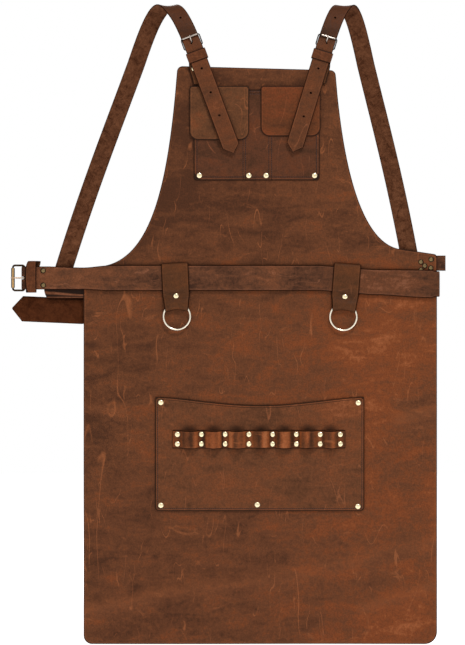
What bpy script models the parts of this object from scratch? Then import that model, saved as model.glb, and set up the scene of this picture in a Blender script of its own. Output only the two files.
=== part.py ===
"""Leather welding apron: a bibbed skirt with pockets, tool loops, two buckled shoulder straps
and a waist belt.

The apron hangs upright in the XZ plane with its grain side facing -Y. The origin is the middle
of the hem, on the front face of the body leather. Layers stack forwards (-Y) and backwards (+Y)
from that face with a small clearance between neighbours.
"""

import math

import bmesh
import bpy
from mathutils import Matrix, Vector

MM = 0.001
CLEARANCE = 0.3 * MM

# Leather thicknesses
BODY_THICK = 2.2 * MM
POCKET_THICK = 1.8 * MM
FLAP_THICK = 2.0 * MM
STRAP_THICK = 2.2 * MM
BELT_THICK = 3.0 * MM
STRIP_THICK = 1.8 * MM

# Body outline
HEM_HALF_WIDTH = 291.5 * MM
HEM_CORNER = {-1: 14 * MM, 1: 20 * MM}
BIB_CENTRE_X = -6.5 * MM
BIB_HALF_WIDTH = 131 * MM
BIB_CORNER = 9 * MM
BIB_TOP_Z = {-1: 953.5 * MM, 1: 947 * MM}
WING_TIP_Z = {-1: 618 * MM, 1: 643.5 * MM}
WING_ROOT = {-1: (251 * MM, 624 * MM), 1: (233 * MM, 652.5 * MM)}
WING_CORNER = 5 * MM
ARMHOLE_LEAVE = {-1: (81 * MM, 16 * MM), 1: (53 * MM, 13 * MM)}
ARMHOLE_ARRIVE = (14 * MM, 175 * MM)

# Chest pocket and its two flaps
CHEST_POCKET_X = (-109.5 * MM, 97.5 * MM)
CHEST_POCKET_Z = (765.5 * MM, 914 * MM)
FLAP_X = {-1: (-116.5 * MM, -19 * MM), 1: (1 * MM, 99 * MM)}
FLAP_TOP_Z = 920 * MM
FLAP_DROP = {-1: 88 * MM, 1: 82 * MM}
FLAP_CORNER = 14 * MM
CHEST_RIVET_X = (-100.5 * MM, -19 * MM, 9.5 * MM, 89.5 * MM)
CHEST_RIVET_Z = 773 * MM
CHEST_POCKET_CORNER = 4 * MM

# Tool pocket and the strip of tool loops on it
TOOL_POCKET_X = (-173 * MM, 171 * MM)
TOOL_POCKET_Z = (220 * MM, 407.5 * MM)
TOOL_POCKET_DIP = 14 * MM
TOOL_POCKET_CORNER = 5 * MM
TOOL_POCKET_GAP = 1.4 * MM  # room behind the pocket for the back caps of the loop rivets
TOOL_RIVETS_LOW = ((-164 * MM, 229 * MM), (-5 * MM, 230 * MM), (161 * MM, 227 * MM))
TOOL_RIVETS_HIGH = ((-164 * MM, 398.5 * MM), (161.5 * MM, 398 * MM))
LOOP_FIRST_X = -136.5 * MM
LOOP_PITCH = 39.2 * MM
LOOP_LAST_PITCH = 33 * MM
LOOP_COUNT = 7
LOOP_BULGE = 8 * MM
LOOP_LAND = 6 * MM
LOOP_STRIP_Z = (323 * MM, 353 * MM)
LOOP_RIVET_Z = (330.3 * MM, 346 * MM)
LOOP_STRIP_END = 8 * MM

# Waist belt: the front run, its wrap round the right edge, the back run and the free tail
BELT_WIDTH = 39 * MM
BELT_BUCKLE_WIDTH = 36.5 * MM
BELT_FRONT_Z = 604 * MM
BELT_STEP_DROP = 7 * MM
BELT_STEP_X = (100 * MM, 185 * MM)
BELT_WRAP_Z = 594 * MM
BELT_WRAP_X = 287.8 * MM
BELT_WRAP_REACH = 7 * MM
BELT_BACK_Y = 10.8 * MM
BELT_TAIL_LOW = (-296 * MM, 549 * MM)
BELT_TIP = (-410 * MM, 554 * MM)
BELT_POINT = 17 * MM
BELT_RIVET_X = -358 * MM
BELT_RIVET_RISE = 12 * MM
BELT_RETURN_X = -346 * MM
BELT_FOLD_PAST_RIVET = 6 * MM
BELT_STATION = 17.5 * MM
BELT_SLOT = (9 * MM, 3.5 * MM, 12 * MM)  # half length, half height and depth of the cut
TIP_HALF_WIDTH = 3 * MM
EYE_PLAY = 0.4 * MM  # room between a bar and the leather folded round it

# Belt buckle: a wire frame, a prong and a roller
WIRE_RADIUS = 1.6 * MM
BELT_BAR_X = -389 * MM
BELT_BUCKLE_LENGTH = 19 * MM
BELT_BUCKLE_HALF = 20.6 * MM
BELT_BUCKLE_CORNER = 3.5 * MM
ROLLER_RADIUS = 3 * MM
ROLLER_SHORTER = 4.4 * MM
PRONG_RADIUS = 1.2 * MM
PRONG_EYE = 3.3 * MM
PRONG_HOOK = 5 * MM
PRONG_TIP_DIP = 0.4 * MM
BELT_PRONG_OVERHANG = 3.6 * MM
BELT_KEEPER_X = (-384 * MM, -367.5 * MM)
KEEPER_THICK = 1.6 * MM
KEEPER_CORNER = 2.2 * MM
BELT_KEEPER_HALF_WIDTH = 20.2 * MM
BELT_KEEPER_HALF_DEPTH = 5.9 * MM

# Shoulder straps. Each arches over the shoulder as a helix of elliptical section
STRAP_WIDTH = 29 * MM
ARCH_TOP_Z = 1054.5 * MM
ARCH_RISE = 95 * MM
ARCH_HALF_DEPTH = 34 * MM
STRAP_FRONT_Y = -8.2 * MM
STRAP_WAIST_Y = 5.7 * MM
ARCH_X = {-1: -155 * MM, 1: 141 * MM}
FRONT_LEAN = {-1: math.radians(20.5), 1: math.radians(17)}
BACK_LEAN = {-1: math.radians(18.9), 1: math.radians(12.2)}
BACK_BOW = 3 * MM  # how far the back run bows outwards at its middle
STRAP_END_Z = {-1: 588 * MM, 1: 618 * MM}
STRAP_SETTLED_Z = 650 * MM
TAIL_TOP_Z = 955 * MM
TAIL_TIP_Z = {-1: 809 * MM, 1: 811 * MM}
TAIL_POINT = 13 * MM

# Shoulder buckles, keepers and buckle tabs, by their height on the strap's front run
TOP_BAR_Z = 1001.5 * MM
HEEL_BAR_Z = 984.5 * MM
HEEL_BAR_Y = -1.5 * MM
TOP_BAR_Y = -8.6 * MM
STRAP_BUCKLE_WIRE = 1.4 * MM
STRAP_BUCKLE_HALF = 16.8 * MM
STRAP_BUCKLE_CORNER = 3 * MM
STRAP_SLOT = (9 * MM, 2.2 * MM, 9 * MM)
STRAP_PRONG_OVERHANG = 2.4 * MM
STRAP_KEEPER_BACK_Y = 2.3 * MM
TAB_SLOT = (7 * MM, 3 * MM, 12 * MM)
STRAP_PRONG_RADIUS = 1.0 * MM
STRAP_PRONG_EYE = 2.9 * MM
STRAP_KEEPER_Z = (962 * MM, 978 * MM)
TAB_WIDTH = 27 * MM
TAB_END_Z = 927 * MM
TAB_LEAN_ON_BIB = math.radians(9)

# Ring hangers, each a strip round the belt and round the top of an O-ring
HANGER_X = {-1: -139 * MM, 1: 139.5 * MM}
HANGER_TILT = {-1: math.radians(-2.5), 1: math.radians(4.5)}
HANGER_NECK_Z = {-1: 574 * MM, 1: 573 * MM}
HANGER_TOP = 54 * MM
HANGER_BOTTOM = 24.4 * MM
HANGER_TOP_WIDTH = 44 * MM
HANGER_BOTTOM_WIDTH = 32.5 * MM
HANGER_SHOULDER = 24.6 * MM  # height above the neck rivet where the full width starts
HANGER_EYE_FRONT_Y = -11.9 * MM
HANGER_NECK_HALF = 4.9 * MM  # half height of the neck, pressed flat by its rivet
HANGER_FRONT_LOW = 8.4 * MM
HANGER_BELT_EYE_LOW = 7.4 * MM
HANGER_RING_EYE_TOP = -8 * MM
HANGER_EASE = 2 * MM  # rounding of the folds
RING_RADIUS = 22 * MM
RING_WIRE = 1.7 * MM
RING_DROP = 33.3 * MM
RING_AXIS_DROP = 14.5 * MM
RING_Y = -6.3 * MM

# Side loops behind the wings, folded round the strap ends
LOOP_OUTER_X = {-1: -357 * MM, 1: 306 * MM}
LOOP_INNER_X = {-1: -246 * MM, 1: 230 * MM}
SIDE_LOOP_Z = {-1: (570 * MM, 599 * MM), 1: (616 * MM, 641 * MM)}

# Rivets
RIVET_CAP = 4.5 * MM
RIVET_CAP_HEIGHT = 1.5 * MM
RIVET_SHANK = 1.7 * MM
RIVET_SIDES = 12
PROUD = 0.1 * MM
RIVET_BACK_HEIGHT = 0.9 * MM
HOLE_CUTTER_FRONT = -30 * MM
HOLE_CUTTER_LENGTH = 60 * MM


# ---------------------------------------------------------------- materials


def material(name, colour, roughness, metallic=0.0):
    found = bpy.data.materials.new(name)
    found.use_nodes = True
    shader = found.node_tree.nodes["Principled BSDF"]
    shader.inputs["Base Color"].default_value = (*colour, 1.0)
    shader.inputs["Roughness"].default_value = roughness
    shader.inputs["Metallic"].default_value = metallic
    found.diffuse_color = (*colour, 1.0)
    return found


def make_materials():
    return {
        "grain": material("grain_leather", (0.105, 0.044, 0.022), 0.55),
        "red": material("red_leather", (0.165, 0.055, 0.027), 0.5),
        "belt": material("belt_leather", (0.085, 0.036, 0.019), 0.5),
        "brass": material("pale_brass", (0.78, 0.62, 0.36), 0.28, 1.0),
        "antique": material("antique_brass", (0.32, 0.22, 0.11), 0.4, 1.0),
        "nickel": material("bright_nickel", (0.76, 0.75, 0.72), 0.22, 1.0),
    }


# ---------------------------------------------------------------- mesh helpers


def add_object(name, mesh, finish):
    piece = bpy.data.objects.new(name, mesh)
    bpy.context.scene.collection.objects.link(piece)
    if finish:
        mesh.materials.append(finish)
    return piece


def mesh_from(name, build):
    mesh = bpy.data.meshes.new(name)
    work = bmesh.new()
    build(work)
    bmesh.ops.recalc_face_normals(work, faces=work.faces)
    work.to_mesh(mesh)
    work.free()
    return mesh


def prism(name, outline, depth, direction, finish):
    """A solid with the closed outline (a list of points in space) as one face, extruded."""

    def build(work):
        face = work.faces.new([work.verts.new(point) for point in outline])
        grown = bmesh.ops.extrude_face_region(work, geom=[face])["geom"]
        verts = [item for item in grown if isinstance(item, bmesh.types.BMVert)]
        bmesh.ops.translate(work, verts=verts, vec=direction * depth)

    return add_object(name, mesh_from(name, build), finish)


def sheet(name, outline, front_y, thickness, finish):
    """A flat piece of leather with an outline in X and Z, from front_y backwards."""
    points = [Vector((x, front_y, z)) for x, z in outline]
    return prism(name, points, thickness, Vector((0, 1, 0)), finish)


def ribbon(name, stations, thickness, finish, closed=False):
    """A strip through stations of (centre, half width vector, outward unit normal)."""

    def build(work):
        rings = []
        for centre, half, normal in stations:
            lift = normal * (thickness / 2)
            corners = (half + lift, lift - half, -half - lift, half - lift)
            rings.append([work.verts.new(centre + corner) for corner in corners])
        pairs = list(zip(rings, rings[1:]))
        if closed:
            pairs.append((rings[-1], rings[0]))
        for first, second in pairs:
            for i in range(4):
                j = (i + 1) % 4
                work.faces.new((first[i], first[j], second[j], second[i]))
        if not closed:
            work.faces.new(rings[0])
            work.faces.new(rings[-1])

    return add_object(name, mesh_from(name, build), finish)


def wire(name, points, radius, finish, closed=False):
    """Round wire along points in space, as a bevelled curve turned into a mesh."""
    curve = bpy.data.curves.new(name, "CURVE")
    curve.dimensions = "3D"
    curve.bevel_depth = radius
    curve.bevel_resolution = 2
    curve.use_fill_caps = True
    spline = curve.splines.new("POLY")
    spline.points.add(len(points) - 1)
    for target, point in zip(spline.points, points):
        target.co = (*point, 1.0)
    spline.use_cyclic_u = closed
    guide = bpy.data.objects.new(name + "_curve", curve)
    bpy.context.scene.collection.objects.link(guide)
    bpy.context.view_layer.update()
    mesh = bpy.data.meshes.new_from_object(guide)
    bpy.data.objects.remove(guide)
    bpy.data.curves.remove(curve)
    mesh.materials.clear()
    piece = add_object(name, mesh, finish)
    mesh.shade_smooth()
    return piece


def set_origin(piece, point):
    """Moves the piece's origin to a point, leaving its shape where it is."""
    piece.data.transform(Matrix.Translation(-Vector(point)))
    piece.location = point


def join_as_cutter(name, pieces):
    """One hidden cutter from several separate solids."""
    work = bmesh.new()
    for piece in pieces:
        work.from_mesh(piece.data)
        bpy.data.objects.remove(piece)
    mesh = bpy.data.meshes.new(name)
    work.to_mesh(mesh)
    work.free()
    cutter = add_object(name, mesh, None)
    cutter.hide_render = True
    cutter.display_type = "WIRE"
    return cutter


def cut(piece, cutter):
    modifier = piece.modifiers.new("cut_" + cutter.name, "BOOLEAN")
    modifier.operation = "DIFFERENCE"
    modifier.object = cutter


def slot_cutter(name, centre, along, half_length, half_width, half_depth):
    """A cutter for a slot through a strap: along lies in the XZ plane, the depth is along Y."""
    across = along.cross(Vector((0, 1, 0))).normalized() * half_width
    reach = along.normalized() * half_length
    back = Vector((0, half_depth, 0))
    corners = (across + reach, reach - across, -across - reach, across - reach)
    cutter = prism(name, [centre - back + corner for corner in corners], 2 * half_depth,
                   Vector((0, 1, 0)), None)
    cutter.hide_render = True
    cutter.display_type = "WIRE"
    return cutter


# ---------------------------------------------------------------- curves


def arc(centre, radius, start, end, steps):
    """Points in a plane along an arc, with angles in degrees."""
    points = []
    for i in range(steps + 1):
        angle = math.radians(start + (end - start) * i / steps)
        points.append((centre[0] + radius * math.cos(angle), centre[1] + radius * math.sin(angle)))
    return points


def rounded_rectangle(low, high, radius, steps=3):
    x0, y0 = low
    x1, y1 = high
    centres = ((x1 - radius, y1 - radius), (x0 + radius, y1 - radius))
    centres += ((x0 + radius, y0 + radius), (x1 - radius, y0 + radius))
    points = []
    for quarter, centre in enumerate(centres):
        points += arc(centre, radius, 90 * quarter, 90 * quarter + 90, steps)
    return points


def bezier(p0, p1, p2, p3, steps):
    points = []
    for i in range(steps + 1):
        t = i / steps
        weights = ((1 - t) ** 3, 3 * t * (1 - t) ** 2, 3 * t * t * (1 - t), t**3)
        points.append(
            tuple(sum(w * p[k] for w, p in zip(weights, (p0, p1, p2, p3))) for k in (0, 1))
        )
    return points


def smooth(t):
    """A step from 0 to 1 that starts and ends level."""
    t = min(1.0, max(0.0, t))
    return t * t * (3 - 2 * t)


def stations_along(points, normals, half_widths):
    """Ribbon stations: the half width lies across the path and the normal."""
    stations = []
    for i, point in enumerate(points):
        ahead = points[min(i + 1, len(points) - 1)]
        behind = points[max(i - 1, 0)]
        along = (ahead - behind).normalized()
        across = along.cross(normals[i]).normalized()
        normal = across.cross(along).normalized()
        stations.append((point, across * half_widths[i], normal))
    return stations


# ---------------------------------------------------------------- rivets


def rivet_profile(front_y, back_y):
    """Radius and depth of half a rivet, from the dome in front to the cap behind."""
    cap, shank, rise = RIVET_CAP, RIVET_SHANK, RIVET_CAP_HEIGHT
    front = front_y - PROUD
    back = back_y + PROUD
    return [
        (0.0, front - rise),
        (0.6 * cap, front - 0.85 * rise),
        (0.92 * cap, front - 0.45 * rise),
        (cap, front),
        (shank, front),
        (shank, back),
        (0.9 * cap, back),
        (0.8 * cap, back + 0.9 * RIVET_BACK_HEIGHT),
        (0.0, back + RIVET_BACK_HEIGHT),
    ]


def rivet(name, x, z, front_y, back_y, finish):
    """A double cap rivet through the layers from front_y to back_y, and its hole's cutter."""

    def build(work):
        profile = rivet_profile(front_y, back_y)
        verts = [work.verts.new((radius, depth, 0)) for radius, depth in profile]
        edges = [work.edges.new(pair) for pair in zip(verts, verts[1:])]
        bmesh.ops.spin(
            work,
            geom=verts + edges,
            cent=(0, 0, 0),
            axis=(0, 1, 0),
            angle=math.tau,
            steps=RIVET_SIDES,
            use_merge=True,
        )
        bmesh.ops.remove_doubles(work, verts=work.verts, dist=1e-6)

    piece = add_object(name, mesh_from(name, build), finish)
    piece.data.shade_smooth()
    piece.data.set_sharp_from_angle(angle=math.radians(40))
    piece.location = (x, 0, z)
    hole = RIVET_SHANK + CLEARANCE
    ring = [Vector((a, HOLE_CUTTER_FRONT, b)) for a, b in arc((x, z), hole, 0, 330, 11)]
    cutter = prism(name + "_hole", ring, HOLE_CUTTER_LENGTH, Vector((0, 1, 0)), None)
    return piece, cutter


def rivet_group(name, places, front_y, back_y, finish):
    """Rivets at (x, z) places and one cutter for all their holes."""
    cutters = []
    for number, (x, z) in enumerate(places, 1):
        piece, cutter = rivet(f"{name}_{number:02d}", x, z, front_y, back_y, finish)
        cutters.append(cutter)
    return join_as_cutter(name + "_holes", cutters)


# ---------------------------------------------------------------- body and pockets


def armhole(side):
    """The edge from the wing up to the bib's top corner, seen from the front."""
    root_x, root_z = WING_ROOT[side]
    centre = BIB_CENTRE_X
    start = (centre + side * root_x, root_z)
    end = (centre + side * BIB_HALF_WIDTH, BIB_TOP_Z[side] - BIB_CORNER)
    run, rise = ARMHOLE_LEAVE[side]
    leave = (centre + side * (root_x - run), root_z + rise)
    run, rise = ARMHOLE_ARRIVE
    arrive = (centre + side * (BIB_HALF_WIDTH + run), end[1] - rise)
    return bezier(start, leave, arrive, end, 18)


def half_outline(side):
    """From the hem up one side to the bib's top edge."""
    corner = HEM_CORNER[side]
    edge = HEM_HALF_WIDTH
    points = [(side * x, z) for x, z in arc((edge - corner, corner), corner, -90, 0, 5)]
    tip = (edge - WING_CORNER, WING_TIP_Z[side] - WING_CORNER)
    points += [(side * x, z) for x, z in arc(tip, WING_CORNER, 0, 80, 3)]
    points += armhole(side)
    bib = (BIB_HALF_WIDTH - BIB_CORNER, BIB_TOP_Z[side] - BIB_CORNER)
    for x, z in arc(bib, BIB_CORNER, 15, 90, 4):
        points.append((BIB_CENTRE_X + side * x, z))
    return points


def make_body(finish):
    outline = half_outline(1) + list(reversed(half_outline(-1)))
    return sheet("apron_body", outline, 0.0, BODY_THICK, finish)


def make_chest_pocket(finish):
    low, high = zip(CHEST_POCKET_X, CHEST_POCKET_Z)
    outline = rounded_rectangle(low, high, CHEST_POCKET_CORNER, 2)
    front = -CLEARANCE - POCKET_THICK
    return sheet("chest_pocket", outline, front, POCKET_THICK, finish)


def flap_front():
    return -2 * CLEARANCE - POCKET_THICK - FLAP_THICK


def make_flap(side, finish):
    """A pocket flap that lifts about its sewn top edge."""
    name = "pocket_flap_" + ("left" if side < 0 else "right")
    x0, x1 = FLAP_X[side]
    low = FLAP_TOP_Z - FLAP_DROP[side]
    outline = [(x1, FLAP_TOP_Z), (x0, FLAP_TOP_Z)]
    outline += arc((x0 + FLAP_CORNER, low + FLAP_CORNER), FLAP_CORNER, 180, 270, 5)
    outline += arc((x1 - FLAP_CORNER, low + FLAP_CORNER), FLAP_CORNER, 270, 360, 5)
    flap = sheet(name, outline, flap_front(), FLAP_THICK, finish)
    set_origin(flap, (0, flap_front() + FLAP_THICK / 2, FLAP_TOP_Z))
    return flap


def tool_pocket_front():
    return -TOOL_POCKET_GAP - POCKET_THICK


def make_tool_pocket(finish):
    x0, x1 = TOOL_POCKET_X
    z0, z1 = TOOL_POCKET_Z
    corner = TOOL_POCKET_CORNER
    outline = arc((x0 + corner, z0 + corner), corner, 180, 270, 3)
    outline += arc((x1 - corner, z0 + corner), corner, 270, 360, 3)
    steps = 14
    for i in range(steps + 1):
        t = i / steps
        sag = TOOL_POCKET_DIP * math.sin(math.pi * t) ** 1.5
        outline.append((x1 + (x0 - x1) * t, z1 - sag))
    return sheet("tool_pocket", outline, tool_pocket_front(), POCKET_THICK, finish)


def loop_columns():
    columns = [LOOP_FIRST_X + LOOP_PITCH * i for i in range(LOOP_COUNT)]
    return columns + [columns[-1] + LOOP_LAST_PITCH]


def make_tool_loop_strip(finish):
    """A strip that lies flat at each rivet column and bows forward between them."""
    base = tool_pocket_front() - CLEARANCE - STRIP_THICK / 2
    columns = loop_columns()
    path = [(columns[0] - LOOP_STRIP_END, 0.0), (columns[0] + LOOP_LAND, 0.0)]
    steps = 8
    for left, right in zip(columns, columns[1:]):
        start = left + LOOP_LAND
        length = right - left - 2 * LOOP_LAND
        for i in range(1, steps):
            t = i / steps
            path.append((start + length * t, LOOP_BULGE * math.sin(math.pi * t) ** 0.8))
        path.append((right - LOOP_LAND, 0.0))
        path.append((right + LOOP_LAND, 0.0))
    path[-1] = (columns[-1] + LOOP_STRIP_END, 0.0)
    z0, z1 = LOOP_STRIP_Z
    half = Vector((0, 0, (z1 - z0) / 2))
    stations = []
    points = [Vector((x, base - lift, (z0 + z1) / 2)) for x, lift in path]
    for i, point in enumerate(points):
        along = points[min(i + 1, len(points) - 1)] - points[max(i - 1, 0)]
        normal = along.normalized().cross(Vector((0, 0, 1)))
        stations.append((point, half, normal))
    return ribbon("tool_loop_strip", stations, STRIP_THICK, finish)


# ---------------------------------------------------------------- waist belt


def belt_front_z(x):
    """Height of the belt's centre line along the front run."""
    start, end = BELT_STEP_X
    step = BELT_STEP_DROP * min(1.0, max(0.0, (x - start) / (end - start)))
    sag = (BELT_FRONT_Z - BELT_STEP_DROP - BELT_WRAP_Z) * smooth((x - end) / (BELT_WRAP_X - end))
    return BELT_FRONT_Z - step - sag


def belt_front_y():
    return -EYE_PLAY - CLEARANCE - STRIP_THICK - BELT_THICK / 2


def belt_path():
    """Centre line from the end folded under the buckle to the tip of the tail, with half widths."""
    front = belt_front_y()
    behind = front + BELT_THICK + CLEARANCE
    bar_y = (front + behind) / 2
    eye = WIRE_RADIUS + EYE_PLAY + BELT_THICK / 2
    end_half = BELT_BUCKLE_WIDTH / 2
    full_half = BELT_WIDTH / 2
    points = [(BELT_RETURN_X, behind), (BELT_RIVET_X - BELT_FOLD_PAST_RIVET, behind)]
    points += [(x, y) for x, y in arc((BELT_BAR_X, bar_y), eye, 80, 280, 10)]
    points += [(BELT_RIVET_X - BELT_FOLD_PAST_RIVET, front)]
    path = [(Vector((x, y, BELT_FRONT_Z)), end_half) for x, y in points]
    x = BELT_RIVET_X + 4 * MM
    while x < BELT_WRAP_X - 1 * MM:
        path.append((Vector((x, front, belt_front_z(x))), full_half))
        x += BELT_STATION
    wrap_y = (front + BELT_BACK_Y) / 2
    half_depth = (BELT_BACK_Y - front) / 2
    steps = 10
    for i in range(steps + 1):
        angle = math.pi * i / steps
        x = BELT_WRAP_X + BELT_WRAP_REACH * math.sin(angle)
        y = wrap_y - half_depth * math.cos(angle)
        path.append((Vector((x, y, BELT_WRAP_Z)), full_half))
    start = Vector((BELT_WRAP_X - 12 * MM, BELT_BACK_Y, BELT_WRAP_Z - 1 * MM))
    low = Vector((BELT_TAIL_LOW[0], BELT_BACK_Y, BELT_TAIL_LOW[1]))
    steps = 12
    for i in range(steps + 1):
        path.append((start.lerp(low, i / steps), full_half))
    tip = Vector((BELT_TIP[0], BELT_BACK_Y, BELT_TIP[1]))
    away = (tip - low).normalized()
    path.append((tip - away * BELT_POINT, full_half))
    path.append((tip, TIP_HALF_WIDTH))
    return path


def make_belt(finish):
    path = belt_path()
    points = [point for point, half in path]
    stations = []
    for i, (point, half) in enumerate(path):
        along = points[min(i + 1, len(points) - 1)] - points[max(i - 1, 0)]
        flat = Vector((along.x, along.y, 0)).normalized()
        normal = flat.cross(Vector((0, 0, 1)))
        slope = Vector((0, 0, 1)) - flat * (along.z / max(along.length, 1e-9))
        straight = abs(along.x) > 4 * abs(along.y)
        up = slope.normalized() if straight else Vector((0, 0, 1))
        stations.append((point, up * half, normal))
    belt = ribbon("waist_belt", stations, BELT_THICK, finish)
    slot = slot_cutter("belt_prong_slot", belt_bar(), Vector((1, 0, 0)), *BELT_SLOT)
    cut(belt, slot)
    return belt


def belt_bar():
    """Centre of the belt buckle's bar inside the belt's fold."""
    return Vector((BELT_BAR_X, belt_front_y() + (BELT_THICK + CLEARANCE) / 2, BELT_FRONT_Z))


def make_belt_buckle(materials):
    bar = belt_bar()
    low = (bar.x - BELT_BUCKLE_LENGTH, bar.z - BELT_BUCKLE_HALF)
    high = (bar.x, bar.z + BELT_BUCKLE_HALF)
    outline = rounded_rectangle(low, high, BELT_BUCKLE_CORNER, 3)
    points = [(x, bar.y, z) for x, z in outline]
    frame = wire("belt_buckle_frame", points, WIRE_RADIUS, materials["antique"], closed=True)
    set_origin(frame, bar)
    make_roller(bar, materials["antique"])
    make_prong("belt_buckle_prong", bar, Vector((-1, 0, 0)), Vector((0, -1, 0)),
               BELT_BUCKLE_LENGTH + BELT_PRONG_OVERHANG, PRONG_RADIUS, PRONG_EYE,
               ROLLER_RADIUS + 2 * CLEARANCE + PRONG_RADIUS, materials["antique"])


def make_roller(bar, finish):
    """A sleeve that turns on the buckle's outer bar."""
    half = BELT_BUCKLE_HALF - ROLLER_SHORTER
    inner = WIRE_RADIUS + CLEARANCE

    def build(work):
        profile = [(inner, -half), (ROLLER_RADIUS, -half), (ROLLER_RADIUS, half), (inner, half)]
        verts = [work.verts.new((radius, 0, height)) for radius, height in profile]
        edges = [work.edges.new((verts[i], verts[(i + 1) % 4])) for i in range(4)]
        bmesh.ops.spin(work, geom=verts + edges, cent=(0, 0, 0), axis=(0, 0, 1),
                       angle=math.tau, steps=16, use_merge=True)
        bmesh.ops.remove_doubles(work, verts=work.verts, dist=1e-6)

    roller = add_object("belt_buckle_roller", mesh_from("belt_buckle_roller", build), finish)
    roller.location = (bar.x - BELT_BUCKLE_LENGTH, bar.y, bar.z)
    roller.data.shade_smooth()
    roller.data.set_sharp_from_angle(angle=math.radians(40))
    return roller


def make_prong(name, pivot, outward, front, length, radius, eye, rest_height, finish):
    """A wire pin whose eye hooks round the bar at pivot and whose tip lies on the far bar."""
    points = []
    steps = 9
    for i in range(steps + 1):
        angle = math.radians(-200 + 290 * i / steps)
        points.append(pivot + outward * (eye * math.cos(angle)) + front * (eye * math.sin(angle)))
    points.append(pivot + outward * PRONG_HOOK + front * (0.4 * eye + 0.6 * rest_height))
    points.append(pivot + outward * (0.7 * length) + front * rest_height)
    points.append(pivot + outward * length + front * (rest_height - PRONG_TIP_DIP))
    prong = wire(name, points, radius, finish)
    set_origin(prong, pivot)
    return prong


def loop_band(name, centre, along, front, half_width, half_depth, length, thickness, finish):
    """A closed flat band round a strap: along is the strap's direction, front its face."""
    across = along.cross(front).normalized()
    stations = []
    low = (-half_width - thickness / 2, -half_depth - thickness / 2)
    high = (half_width + thickness / 2, half_depth + thickness / 2)
    outline = rounded_rectangle(low, high, KEEPER_CORNER, 3)
    count = len(outline)
    for i, (u, v) in enumerate(outline):
        du = outline[(i + 1) % count][0] - outline[i - 1][0]
        dv = outline[(i + 1) % count][1] - outline[i - 1][1]
        tangent = (across * du + front * dv).normalized()
        point = centre + across * u + front * v
        stations.append((point, along * (length / 2), tangent.cross(along)))
    band = ribbon(name, stations, thickness, finish, closed=True)
    set_origin(band, centre)
    return band


def make_belt_keeper(finish):
    x0, x1 = BELT_KEEPER_X
    centre = Vector(((x0 + x1) / 2, belt_bar().y, BELT_FRONT_Z))
    return loop_band("belt_keeper", centre, Vector((1, 0, 0)), Vector((0, -1, 0)),
                     BELT_KEEPER_HALF_WIDTH, BELT_KEEPER_HALF_DEPTH, x1 - x0, KEEPER_THICK,
                     finish)


# ---------------------------------------------------------------- shoulder straps


def arch_point(side, turn):
    """The strap's centre line over the shoulder: turn runs from -90 (back) to 90 (front)."""
    angle = math.radians(turn)
    back = math.tan(BACK_LEAN[side]) * ARCH_RISE
    front = math.tan(FRONT_LEAN[side]) * ARCH_RISE
    mean = (back + front) / 2
    inward = mean * angle + (front - back) * angle * angle / (2 * math.pi)
    middle_y = STRAP_FRONT_Y + ARCH_HALF_DEPTH
    x = ARCH_X[side] - side * inward
    y = middle_y - ARCH_HALF_DEPTH * math.sin(angle)
    z = ARCH_TOP_Z - ARCH_RISE * (1 - math.cos(angle))
    return Vector((x, y, z))


def arch_normal(turn):
    angle = math.radians(turn)
    return Vector((0, -math.sin(angle) / ARCH_HALF_DEPTH, math.cos(angle) / ARCH_RISE)).normalized()


def front_turn(z):
    """The arch's turn, in degrees, where its front side is at height z."""
    return math.degrees(math.acos(1 - (ARCH_TOP_Z - z) / ARCH_RISE))


def front_point(side, z):
    """The strap's centre on its front run at height z."""
    arch_end = ARCH_TOP_Z - ARCH_RISE
    if z > arch_end:
        return arch_point(side, front_turn(z))
    foot = arch_point(side, 90)
    drop = arch_end - z
    return foot + Vector((-side * math.tan(FRONT_LEAN[side]) * drop, 0, -drop))


def front_direction(side):
    """Unit vector down the strap's front run."""
    lean = FRONT_LEAN[side]
    return Vector((-side * math.sin(lean), 0, -math.cos(lean)))


def back_point(side, z):
    """The strap's centre on its back run at height z."""
    head = arch_point(side, -90)
    drop = head.z - z
    settle = smooth((head.z - z) / (head.z - STRAP_SETTLED_Z))
    bow = BACK_BOW * math.sin(math.pi * min(1.0, max(0.0, drop / (head.z - STRAP_END_Z[side]))))
    x = head.x + side * (math.tan(BACK_LEAN[side]) * drop + bow)
    return Vector((x, head.y + (STRAP_WAIST_Y - head.y) * settle, z))


def side_name(side):
    return "left" if side < 0 else "right"


def make_strap(side, finish):
    """From the side loop at the waist, over the shoulder, to the keeper under the buckle."""
    points, normals = [], []
    steps = 14
    head_z = arch_point(side, -90).z
    for i in range(steps):
        z = STRAP_END_Z[side] + (head_z - STRAP_END_Z[side]) * i / steps
        points.append(back_point(side, z))
        normals.append(Vector((0, 1, 0)))
    steps = 24
    for i in range(steps):
        turn = -90 + 180 * i / steps
        points.append(arch_point(side, turn))
        normals.append(arch_normal(turn))
    last = front_point(side, TAIL_TOP_Z)
    points.append(last)
    normals.append(Vector((0, -1, 0)))
    halves = [STRAP_WIDTH / 2] * len(points)
    strap = ribbon("shoulder_strap_" + side_name(side), stations_along(points, normals, halves),
                   STRAP_THICK, finish)
    middle = front_point(side, (TOP_BAR_Z + HEEL_BAR_Z) / 2)
    slot = slot_cutter("strap_slot_" + side_name(side), middle, front_direction(side),
                       *STRAP_SLOT)
    cut(strap, slot)
    return strap


def tail_top(side):
    return front_point(side, TAIL_TOP_Z) + front_direction(side) * CLEARANCE


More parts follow.
